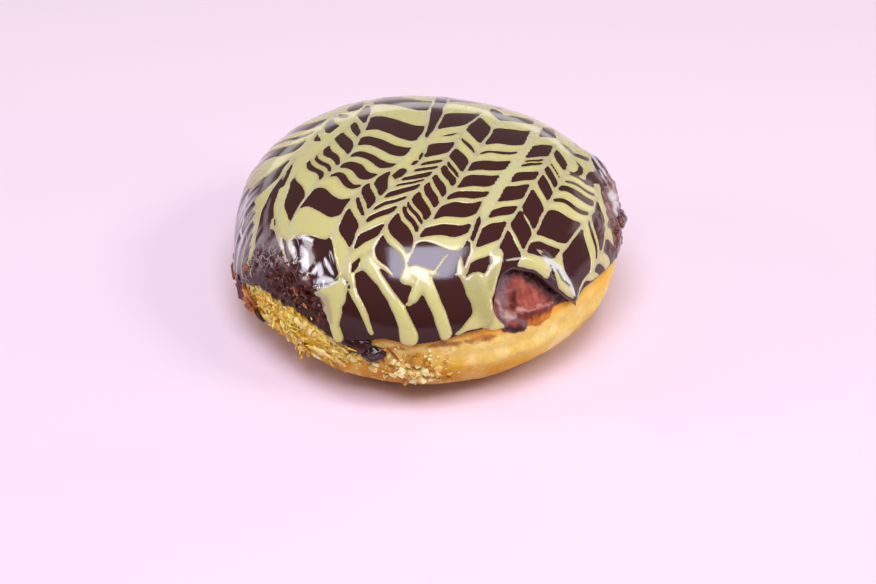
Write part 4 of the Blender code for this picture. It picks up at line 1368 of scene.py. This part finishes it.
def lay_cream(piece, icing):
    """Lay the cut sheet on the coat, rounded at its edges and raised at the drips."""
    x, y, depth = coordinates(piece).T
    distance, angle = np.hypot(x, y) * MM, np.arctan2(y, x)
    at_x, at_y = wavered(x, y, icing.wobble)
    _, rise = strokes(at_x, at_y)
    full = 1.0 - np.clip(1.0 - depth / CREAM_EDGE, 0.0, 1.0) ** 2
    height = cream_level(distance, angle) + (icing.rise + CREAM_SINK) * np.sqrt(full) - CREAM_SINK
    height = height + rise * MM * np.sqrt(full)
    move_to(piece, over_dough(distance, angle, height))
    tines = [np.interp(at_y, TINE_LEVELS, line) for line in TINE_LINES]
    nearest = np.min([np.abs(at_x - tine) for tine in tines], axis=0)
    paint(piece, "dragged", hump(nearest, 0.0, DRAGGED_WIDTH) * (rise < DRIP_RISE))
    paint(piece, "body", np.clip(depth / FULL_DEPTH, 0.0, 1.0))
    paint(piece, "smear", smear_share(distance, angle))
    # Painted highlights, and painted shade in the creases, read by the cream's material
    for name, marks in (("painted_sheen", COAT_MARKS["painted_sheen"]), ("crease_shade", COAT_MARKS["crease_shade"]),
                        ("thin", DRIP_THIN)):
        paint(piece, name, mark_share(x, y, marks))
    paint(piece, "shade", mark_share(x, y, CREAM_SHADE, 0.2, 1.5))


def cream_material(colours):
    """Glossy pale cream, thinner and greyer where a tine passed, with painted highlights and painted
    shade.
    """
    look = Finish("feathered_cream", 0.25, Specular_IOR_Level=0.5, Coat_Weight=0.6,
                  Coat_Roughness=0.07, Subsurface_Weight=0.15, Subsurface_Scale=0.001)
    blotches, grain = look.mottle(160.0, 8.0)
    thin = look.spread(look.value("body"), 0.0, 0.75, 1.0, 0.0)
    base = look.stain(tuple(colours.cream), blotches, 0.5, seen(200, 192, 128))
    # Painted shade: the cream is painted darker and yellower towards the bottom
    low = look.spread(look.place("Z"), 0.016, 0.036, 0.8, 0.0)
    base = look.blend(low, base, seen(196, 186, 88))
    for mask, strength, colour in (
            ("dragged", 0.7, tuple(colours.thin_cream)), (thin, 0.35, seen(150, 128, 96)),
            ("shade", 0.6, seen(150, 142, 84)), ("smear", 0.5, seen(150, 136, 118)),
            # painted highlight: pale where the lamps would shine on the cream
            ("thin", 0.7, seen(158, 142, 112)), ("painted_sheen", 0.85, seen(214, 214, 212)),
            # painted shade: dark lines in the creases
            ("crease_shade", 0.9, seen(62, 44, 42))):
        base = look.stain(base, mask, strength, colour)
    look.colour(base)
    look.roughness(look.spread(blotches, 0.0, 1.0, 0.2, 0.32))
    look.bump(grain, 0.00008, 0.3)
    return look.material


# ---------------------------------------------------------------- lumps, slivers, flakes and nuts

def take_shape(piece):
    """Keep a modelled piece's vertices and faces, and remove the piece."""
    points = coordinates(piece).copy()
    faces = [tuple(face.vertices) for face in piece.data.polygons]
    mesh = piece.data
    bpy.data.objects.remove(piece)
    bpy.data.meshes.remove(mesh)
    return points, faces


def whittled(draw, cuts):
    """Angular chip: a cube with its corners cut off at random."""
    deselect()
    bpy.ops.mesh.primitive_cube_add(size=2.0)
    piece = bpy.context.object
    bpy.ops.object.mode_set(mode="EDIT")
    for _ in range(cuts):
        way = draw.normal(size=3)
        way = way / np.linalg.norm(way)
        bpy.ops.mesh.select_all(action="SELECT")
        bpy.ops.mesh.bisect(plane_co=tuple(way * draw.uniform(0.7, 1.0)), plane_no=tuple(way),
                            use_fill=True, clear_outer=True)
    bpy.ops.object.mode_set(mode="OBJECT")
    return take_shape(piece)


def curled_strip(draw):
    """Thin flake: a strip that tapers, curls and twists, with a ragged outline."""
    deselect()
    bpy.ops.mesh.primitive_grid_add(x_subdivisions=2, y_subdivisions=7, size=2.0)
    piece = bpy.context.object
    x, y, _ = coordinates(piece).T
    taper = 1.0 - draw.uniform(0.3, 0.8) * np.abs(y) ** 1.6
    ragged = 1.0 + 0.35 * np.sin(y * draw.uniform(5, 9) + x * 3.0 + draw.uniform(0, 6))
    side = x * taper * ragged
    bend = draw.uniform(-0.5, 0.5)
    twist = draw.uniform(-0.8, 0.8) * y
    rise = 0.5 * draw.uniform(-0.6, 0.9) * y ** 2 + 0.25 * draw.uniform(-1, 1) * (x * taper) ** 2
    points = np.stack((side * np.cos(twist) + bend * y ** 2, y + 0.1 * np.sin(x * 4.0),
                       rise + side * np.sin(twist) * 0.8), axis=-1)
    move_to(piece, points)
    wall = piece.modifiers.new("wall", "SOLIDIFY")
    wall.thickness = 0.45
    wall.offset = 0.0
    bpy.ops.object.modifier_apply(modifier=wall.name)
    face_out(piece)
    return take_shape(piece)


def craggy_ball(draw, detail=4, crag=1.0):
    """Rough lump: a ball with a jagged surface."""
    deselect()
    bpy.ops.mesh.primitive_ico_sphere_add(subdivisions=detail, radius=1.0)
    piece = bpy.context.object
    points = coordinates(piece)
    shift = draw.uniform(0, 50, size=3)
    swell = (1.0 + 0.35 * uneven(points + shift, 0.9, 1) + 0.22 * crag * creased(points + shift, 0.5, 2)
             + 0.10 * crag * uneven(points + shift, 0.22, 3))
    move_to(piece, points * swell[:, None])
    return take_shape(piece)


def lying_axes(distance, angle, heading, lean, roll):
    """Axes of chips that lie on the dough: side, length and thickness of each, as columns."""
    normal = dough_normal(distance, angle)
    down = on_dough(distance + NORMAL_STEP, angle) - on_dough(distance - NORMAL_STEP, angle)
    down = down / np.linalg.norm(down, axis=-1, keepdims=True)
    around = np.cross(normal, down)
    cos, sin = np.cos(heading)[:, None], np.sin(heading)[:, None]
    ahead = around * cos + down * sin
    side = np.cross(ahead, normal)
    cos, sin = np.cos(lean)[:, None], np.sin(lean)[:, None]
    ahead, up = ahead * cos + normal * sin, normal * cos - ahead * sin
    cos, sin = np.cos(roll)[:, None], np.sin(roll)[:, None]
    side, up = side * cos + up * sin, up * cos - side * sin
    return np.stack((side, ahead, up), axis=-1)


def strew(name, shapes, axes, sizes, spots, tints, draw):
    """Join one copy of a shape for every spot into a single piece."""
    points, faces, shades, start = [], [], [], 0
    for axis, size, spot, tint in zip(axes, sizes, spots, tints):
        shape_points, shape_faces = shapes[draw.integers(len(shapes))]
        points.append((shape_points * size) @ axis.T + spot)
        faces.extend(tuple(start + corner for corner in face) for face in shape_faces)
        shades.append(np.full(len(shape_points), tint))
        start += len(shape_points)
    mesh = bpy.data.meshes.new(name)
    mesh.from_pydata(np.concatenate(points).tolist(), [], faces)
    piece = bpy.data.objects.new(name, mesh)
    bpy.context.scene.collection.objects.link(piece)
    paint(piece, "tint", np.concatenate(shades))
    return piece


FLAKY_ANGLES = (-166, -108)
FLAKY_WIDTH = 0.0125           # of the band that the flakes cover below the coat
STRAYS = 9                     # the first flakes and clumps, which stick out past the others
STRAY_ANGLE = (-131, 1.3)      # middle and spread, in degrees
STRAY_REACH = (0.0725, 0.0755)
STRAY_LEAN = (0.5, 1.0)
FLAKE_HALF = (0.0008, 0.0020)  # half length
FLAKE_LIFT = (0.0001, 0.0012)


def tile_flakes(colours, toppings):
    """Ragged golden flakes along the dough's left front, under the coat, and clumps among them."""
    draw = np.random.default_rng(toppings.seed)
    strips = [curled_strip(draw) for _ in range(8)]
    clumps = [craggy_ball(draw, 3) for _ in range(6)]
    material = flake_material(colours)
    for name, shapes, count, broad in (("golden_flakes", strips, toppings.flakes, 0.0),
                                       ("golden_clumps", clumps, toppings.clumps, 1.0)):
        degrees = draw.uniform(*FLAKY_ANGLES, count)
        degrees[:STRAYS] = draw.normal(*STRAY_ANGLE, len(degrees[:STRAYS]))
        angle = np.radians(degrees)
        edge = coat_edge(angle)
        width = (FLAKY_WIDTH * (1 - smooth(degrees, -124, -106) * 0.65)
                 * (0.55 + 0.45 * smooth(degrees, -168, -155)))
        distance = (edge - 0.0004 + 0.0012 * smooth(degrees, -124, -112)
                    + width * draw.random(count) ** 1.25)
        distance[:STRAYS] = draw.uniform(*STRAY_REACH, len(distance[:STRAYS]))
        half = draw.uniform(*FLAKE_HALF, count) * draw.choice((0.8, 1.0, 1.6 - 0.6 * broad), count)
        across = draw.uniform(0.22, 0.45, count) + broad * draw.uniform(0.2, 0.4, count)
        thick = 0.14 + 0.5 * across * draw.uniform(0.3, 0.9, count)
        sizes = np.stack((half * across, half, half * thick), -1) * (1.0 - 0.25 * broad)
        lean = draw.normal(0.0, 0.3, count)
        lean[:STRAYS] = draw.uniform(*STRAY_LEAN, len(lean[:STRAYS]))
        axes = lying_axes(distance, angle, draw.normal(0.55, 0.6 + 0.6 * broad, count),
                          lean, draw.normal(0.0, 0.6, count))
        lift = (draw.uniform(*FLAKE_LIFT, count) * (1 - 0.5 * (distance - edge) / 0.014)
                * (1 - 0.4 * broad))
        spots = over_dough(distance, angle, lift)
        piece = strew(name, shapes, axes, sizes, spots, draw.random(count), draw)
        finish_piece(piece, material, "dough")


def flake_material(colours):
    """Golden pastry flakes: pale to olive gold, glossy with sugar."""
    look = Finish("golden_flake", 0.35, Specular_IOR_Level=0.6, Subsurface_Weight=0.15,
                  Subsurface_Scale=0.001)
    blotches, grain = look.mottle(900.0, 3.0)
    look.colour(look.ramp(look.both("tint", 0.75, blotches), (0.0, seen(150, 92, 0)),
                          (0.25, seen(220, 168, 20)), (0.6, tuple(colours.flake)),
                          (1.0, seen(254, 246, 190))))
    look.roughness(look.spread(blotches, 0.0, 1.0, 0.18, 0.4))
    look.bump(grain, 0.0001, 0.4)
    return look.material


NUT_HEAP = (-92.3, 4.6)        # middle and spread of the heap of nuts, in degrees
HEAP_DROP = (0.0098, 0.0026)   # the same for its distance below the coat's edge
HEAP_SHARE = 0.78              # how many of the nuts lie in it
STRAY_NUTS = (-158, -100)      # degrees between which the others lie
STRAY_DROP = (0.001, 0.010)
LEAST_DROP = 0.0016
NUT_HALF = (0.00045, 0.0012)   # half length
CRUMB_HEAP = (-92, 5.0)        # the crumbs in the same way
CRUMB_DROP = (0.009, 0.004)
CRUMB_SHARE = 0.55
STRAY_CRUMBS = (-164, -88)
STRAY_CRUMB_DROP = (0.0005, 0.016)
CRUMB_HALF = (0.00012, 0.00042)


def strew_chips(name, shapes, distance, angle, half, thickest, lift, colours, draw):
    """Strew flat-sided chips of nut that lie every way."""
    count = len(half)
    sizes = np.stack((half * draw.uniform(0.6, 1.0, count), half,
                      half * draw.uniform(0.5, thickest, count)), -1)
    axes = lying_axes(distance, angle, draw.uniform(0, math.tau, count),
                      *draw.normal(0, 0.5, (2, count)))
    lift = draw.uniform(*lift, count) if isinstance(lift, tuple) else lift
    spots = over_dough(distance, angle, half * lift)
    piece = strew(name, shapes, axes, sizes, spots, draw.random(count), draw)
    finish_piece(piece, nut_material(colours), "dough")
    piece.data.shade_flat()


def chop_nuts(colours, toppings):
    """Chopped nuts: a heap at the front and stray pieces among the flakes."""
    draw = np.random.default_rng(toppings.seed + 1)
    count = toppings.nuts
    shapes = [whittled(draw, 9) for _ in range(8)]
    heap = draw.random(count) < HEAP_SHARE
    angle = np.radians(np.where(heap, draw.normal(*NUT_HEAP, count), draw.uniform(*STRAY_NUTS, count)))
    below = np.where(heap, draw.normal(*HEAP_DROP, count), draw.uniform(*STRAY_DROP, count))
    distance = coat_edge(angle) + np.maximum(below, LEAST_DROP)
    half = draw.uniform(*NUT_HALF, count) * np.where(heap, 1.1, 0.65)
    strew_chips("chopped_nuts", shapes, distance, angle, half, 0.8, (0.1, 0.6), colours, draw)


def scatter_crumbs(colours, toppings):
    """Fine crumbs round the nuts and the flakes."""
    draw = np.random.default_rng(toppings.seed + 2)
    count = toppings.crumbs
    shapes = [whittled(draw, 4) for _ in range(4)]
    near = draw.random(count) < CRUMB_SHARE
    angle = np.radians(np.where(near, draw.normal(*CRUMB_HEAP, count),
                                draw.uniform(*STRAY_CRUMBS, count)))
    distance = coat_edge(angle) + np.where(near, np.abs(draw.normal(*CRUMB_DROP, count)),
                                           draw.uniform(*STRAY_CRUMB_DROP, count))
    half = draw.uniform(*CRUMB_HALF, count)
    strew_chips("fine_crumbs", shapes, distance, angle, half, 0.9, 0.4, colours, draw)


def nut_material(colours):
    """Chopped nuts: creamy cut faces, some with brown skin."""
    known = bpy.data.materials.get("chopped_nut")
    if known:
        return known
    look = Finish("chopped_nut", 0.4, Specular_IOR_Level=0.5, Subsurface_Weight=0.2,
                  Subsurface_Scale=0.001)
    blotches, grain = look.mottle(1200.0, 3.0)
    look.colour(look.ramp(look.both("tint", 0.8, blotches), (0.0, seen(132, 68, 10)),
                          (0.16, seen(196, 138, 24)), (0.5, tuple(colours.nut)),
                          (1.0, seen(252, 242, 184))))
    look.bump(grain, 0.00008, 0.4)
    return look.material


def set_lumps(toppings):
    """Craggy set lumps of chocolate on the right shoulder and at the front edge."""
    draw = np.random.default_rng(toppings.seed + 3)
    shapes = [craggy_ball(draw, crag=0.5) for _ in range(4)]
    table = np.array(LUMPS)
    angle, distance = np.radians(table[:, 0]), table[:, 1]
    count = len(table)
    axes = lying_axes(distance, angle, np.radians(table[:, 6]), draw.normal(0, 0.1, count),
                      draw.normal(0, 0.2, count))
    sizes = table[:, 2:5][:, (1, 0, 2)] * 0.95
    spots = over_dough(distance, angle, COAT_LEVEL + table[:, 5])
    rust = (table[:, 0] > RUSTY_FROM).astype(float)
    piece = strew("chocolate_lumps", shapes, axes, sizes, spots, rust, draw)
    look = Finish("set_chocolate", 0.14, Specular_IOR_Level=0.5)
    fine, grain = look.mottle(500.0)
    rusty = look.ramp(fine, (0.0, seen(50, 12, 6)), (0.8, seen(98, 38, 22)), (1.0, seen(158, 84, 48)))
    dark = look.blend(fine, seen(30, 8, 4), seen(58, 20, 12))
    look.colour(look.blend(look.value("tint"), dark, rusty))
    look.bump(grain, 0.0001, 0.4)
    finish_piece(piece, look.material, "chocolate_coat")


def hang_slivers(toppings):
    """Toasted slivers that hang from the coat's lip at the far left, and a few at the front."""
    draw = np.random.default_rng(toppings.seed + 4)
    shapes = [whittled(draw, 12) for _ in range(6)]
    table = np.array(SLIVERS)
    small = SMALL_SLIVERS
    count = len(table) + small
    pick = draw.integers(LIP_SLIVERS, size=small)
    angle = np.radians(np.concatenate((table[:, 0], table[pick, 0] + draw.normal(0, 3.5, small))))
    distance = np.concatenate((table[:, 1], table[pick, 1] + draw.normal(-0.0010, 0.0022, small)))
    half = np.concatenate((table[:, 2], draw.uniform(*SMALL_SLIVER_HALF, small)))
    lean = np.radians(np.concatenate((table[:, 3], draw.normal(0, 28, small))))
    level = np.concatenate((table[:, 4], draw.uniform(*SMALL_SLIVER_LEVEL, small)))
    thick = np.concatenate((table[:, 5], draw.uniform(*SMALL_SLIVER_WIDTH, small)))
    axes = lying_axes(distance, angle, math.pi / 2 - lean, draw.normal(0, 0.15, count),
                      draw.normal(0, 0.4, count))
    sizes = np.stack((thick * 1.05, half, thick), -1)
    spots = over_dough(distance, angle, level)
    piece = strew("pastry_slivers", shapes, axes, sizes, spots, draw.random(count), draw)
    look = Finish("toasted_sliver", 0.28, Specular_IOR_Level=0.6, Subsurface_Weight=0.1,
                  Subsurface_Scale=0.001)
    blotches, grain = look.mottle(600.0, 4.0)
    look.colour(look.ramp(look.both("tint", 0.6, blotches), (0.0, seen(40, 12, 4)),
                          (0.4, seen(92, 36, 8)), (0.75, seen(164, 84, 18)),
                          (1.0, seen(232, 170, 76))))
    look.bump(grain, 0.0002, 0.5)
    finish_piece(piece, look.material, "chocolate_coat")
    piece.data.shade_flat()


# ---------------------------------------------------------------- stage

AIM_RIGHT, AIM_UP = 0.00397, 0.00235      # where the camera looks, across and up its picture
LIGHTS_AIM = Vector((0.0, 0.0, 0.03))
ROOM_COLOUR = (1.0, 0.96, 0.95, 1.0)
ROOM_LIGHT = 0.20
FLOOR_SIDE = 4.0
FLOOR_FADE = (-0.15, 0.30)     # Y over which the floor turns paler


def aim_camera(stage):
    """Camera at the photograph's angle."""
    pitch, roll = stage.pitch, stage.roll
    back = Vector((0.0, -math.cos(pitch), math.sin(pitch)))
    right, up = Vector((1.0, 0.0, 0.0)), Vector((0.0, math.sin(pitch), math.cos(pitch)))
    turned_right = right * math.cos(roll) - up * math.sin(roll)
    turned_up = right * math.sin(roll) + up * math.cos(roll)
    spot = back * stage.distance
    target = turned_right * AIM_RIGHT + turned_up * AIM_UP
    back_to = (spot - target).normalized()
    side = turned_up.cross(back_to).normalized()
    axes = Matrix((side, back_to.cross(side), back_to)).transposed()
    bpy.ops.object.camera_add(location=spot, rotation=axes.to_euler())
    camera = bpy.context.object
    camera.name = "photo_camera"
    camera.data.lens = stage.lens
    camera.data.clip_start = 0.01
    bpy.context.scene.camera = camera


LIGHTS = (
    # name, azimuth, elevation, distance, width, height, power, colour
    ("key_softbox", -92, 64.6, 0.71, 0.43, 0.40, 5.6, (0.79, 0.78, 1.0)),
    ("right_softbox", -22, 44, 0.75, 0.20, 0.18, 1.4, (1.0, 0.93, 0.78)),
    ("left_strip", -174, 25, 0.60, 0.15, 0.13, 0.6, (1.0, 0.98, 0.94)),
    ("back_card", 100, 7, 0.90, 1.30, 0.15, 0.9, (1.0, 0.98, 1.0)),
    ("right_strip", -16, 9, 0.60, 0.10, 0.10, 0.4, (1.0, 0.98, 0.96)),
    ("right_card", 32, 17, 0.90, 0.60, 0.32, 0.7, (1.0, 0.93, 0.93)),
)


def hang_lights(stage):
    """Soft boxes round the doughnut, all aimed at it."""
    for name, azimuth, elevation, distance, width, height, power, colour in LIGHTS:
        turn, rise = math.radians(azimuth), math.radians(elevation)
        way = Vector((math.cos(turn) * math.cos(rise), math.sin(turn) * math.cos(rise), math.sin(rise)))
        level = Vector((-math.sin(turn), math.cos(turn), 0.0))
        aim = Matrix((level, way.cross(level), way)).transposed().to_euler()
        bpy.ops.object.light_add(type="AREA", location=way * distance + LIGHTS_AIM, rotation=aim)
        lamp = bpy.context.object
        lamp.name = name
        lamp.data.shape = "RECTANGLE"
        lamp.data.size, lamp.data.size_y = width, height
        lamp.data.energy = power * stage.light
        lamp.data.color = colour


def lay_floor(colours):
    """Plain pale floor."""
    deselect()
    bpy.ops.mesh.primitive_plane_add(size=FLOOR_SIDE)
    floor = named("pale_floor")
    look = Finish("pale_floor", 0.7, Specular_IOR_Level=0.2)
    mask, _ = look.mottle(3.0)
    near = look.stain(tuple(colours.floor), mask, 0.1, seen(230, 208, 216))
    # Painted light: the floor is painted paler towards the back, where less lamp light reaches it
    look.colour(look.blend(look.spread(look.place("Y"), *FLOOR_FADE), near, seen(255, 236, 240)))
    floor.data.materials.append(look.material)
    deselect()


def light_air(stage):
    """Even pale light from all round."""
    world = bpy.data.worlds.new("soft_room")
    bpy.context.scene.world = world
    world.use_nodes = True
    air = world.node_tree.nodes["Background"]
    air.inputs["Color"].default_value = ROOM_COLOUR
    air.inputs["Strength"].default_value = ROOM_LIGHT * stage.light


# ---------------------------------------------------------------- operators

class DoughnutOperator:
    """What every operator here shares."""
    bl_options = {"REGISTER", "UNDO"}


class MESH_OT_doughnut_dough(DoughnutOperator, bpy.types.Operator):
    """Bake the dough bun"""
    bl_idname = "mesh.doughnut_dough"
    bl_label = "Dough Bun"

    def execute(self, context):
        bake_dough(context.scene.doughnut_colours)
        return {"FINISHED"}


class MESH_OT_doughnut_coat(DoughnutOperator, bpy.types.Operator):
    """Pour the chocolate coat"""
    bl_idname = "mesh.doughnut_coat"
    bl_label = "Chocolate Coat"

    def execute(self, context):
        pour_coat(context.scene.doughnut_colours)
        return {"FINISHED"}


class MESH_OT_doughnut_cream(DoughnutOperator, bpy.types.Operator):
    """Pipe and feather the cream"""
    bl_idname = "mesh.doughnut_cream"
    bl_label = "Feathered Cream"

    def execute(self, context):
        pipe_cream(context.scene.doughnut_colours, context.scene.doughnut_icing)
        return {"FINISHED"}


class MESH_OT_doughnut_flakes(DoughnutOperator, bpy.types.Operator):
    """Lay the golden flakes on the dough and the slivers on the coat's lip"""
    bl_idname = "mesh.doughnut_flakes"
    bl_label = "Flakes and Slivers"

    def execute(self, context):
        scene = context.scene
        tile_flakes(scene.doughnut_colours, scene.doughnut_toppings)
        hang_slivers(scene.doughnut_toppings)
        return {"FINISHED"}


class MESH_OT_doughnut_nuts(DoughnutOperator, bpy.types.Operator):
    """Strew the chopped nuts and the crumbs"""
    bl_idname = "mesh.doughnut_nuts"
    bl_label = "Nuts and Crumbs"

    def execute(self, context):
        scene = context.scene
        chop_nuts(scene.doughnut_colours, scene.doughnut_toppings)
        scatter_crumbs(scene.doughnut_colours, scene.doughnut_toppings)
        return {"FINISHED"}


class MESH_OT_doughnut_lumps(DoughnutOperator, bpy.types.Operator):
    """Set the rough chocolate lumps"""
    bl_idname = "mesh.doughnut_lumps"
    bl_label = "Chocolate Lumps"

    def execute(self, context):
        set_lumps(context.scene.doughnut_toppings)
        return {"FINISHED"}


class SCENE_OT_doughnut_stage(DoughnutOperator, bpy.types.Operator):
    """Set the floor, the lights and the camera"""
    bl_idname = "scene.doughnut_stage"
    bl_label = "Stage"

    def execute(self, context):
        stage = context.scene.doughnut_stage
        context.scene.view_settings.view_transform = "Standard"
        lay_floor(context.scene.doughnut_colours)
        light_air(stage)
        hang_lights(stage)
        aim_camera(stage)
        return {"FINISHED"}


class VIEW3D_PT_doughnut(bpy.types.Panel):
    """Sidebar panel that lists the steps and their settings"""
    bl_label = "Feathered Doughnut"
    bl_idname = "VIEW3D_PT_doughnut"
    bl_space_type = "VIEW_3D"
    bl_region_type = "UI"
    bl_category = "Doughnut"

    def draw(self, context):
        layout = self.layout
        for operator in STEPS:
            layout.operator(operator.bl_idname)
        for group in SETTINGS:
            box = layout.box()
            settings = getattr(context.scene, SETTINGS[group])
            for name in group.__annotations__:
                box.prop(settings, name)


SETTINGS = {
    DoughnutColours: "doughnut_colours",
    DoughnutIcing: "doughnut_icing",
    DoughnutToppings: "doughnut_toppings",
    DoughnutStage: "doughnut_stage",
}
STEPS = (
    MESH_OT_doughnut_dough,
    MESH_OT_doughnut_coat,
    MESH_OT_doughnut_cream,
    MESH_OT_doughnut_flakes,
    MESH_OT_doughnut_nuts,
    MESH_OT_doughnut_lumps,
    SCENE_OT_doughnut_stage,
)


def register():
    """Register the settings, the operators and the panel."""
    for group, name in SETTINGS.items():
        bpy.utils.register_class(group)
        setattr(bpy.types.Scene, name, PointerProperty(type=group))
    for operator in STEPS:
        bpy.utils.register_class(operator)
    bpy.utils.register_class(VIEW3D_PT_doughnut)


def unregister():
    """Undo register, last first."""
    bpy.utils.unregister_class(VIEW3D_PT_doughnut)
    for operator in reversed(STEPS):
        bpy.utils.unregister_class(operator)
    for group, name in reversed(SETTINGS.items()):
        delattr(bpy.types.Scene, name)
        bpy.utils.unregister_class(group)


def main():
    """Build the doughnut and its stage."""
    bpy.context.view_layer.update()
    register()
    bpy.ops.mesh.doughnut_dough()
    bpy.ops.mesh.doughnut_coat()
    bpy.ops.mesh.doughnut_cream()
    bpy.ops.mesh.doughnut_flakes()
    bpy.ops.mesh.doughnut_nuts()
    bpy.ops.mesh.doughnut_lumps()
    bpy.ops.scene.doughnut_stage()


if __name__ == "__main__":
    main()
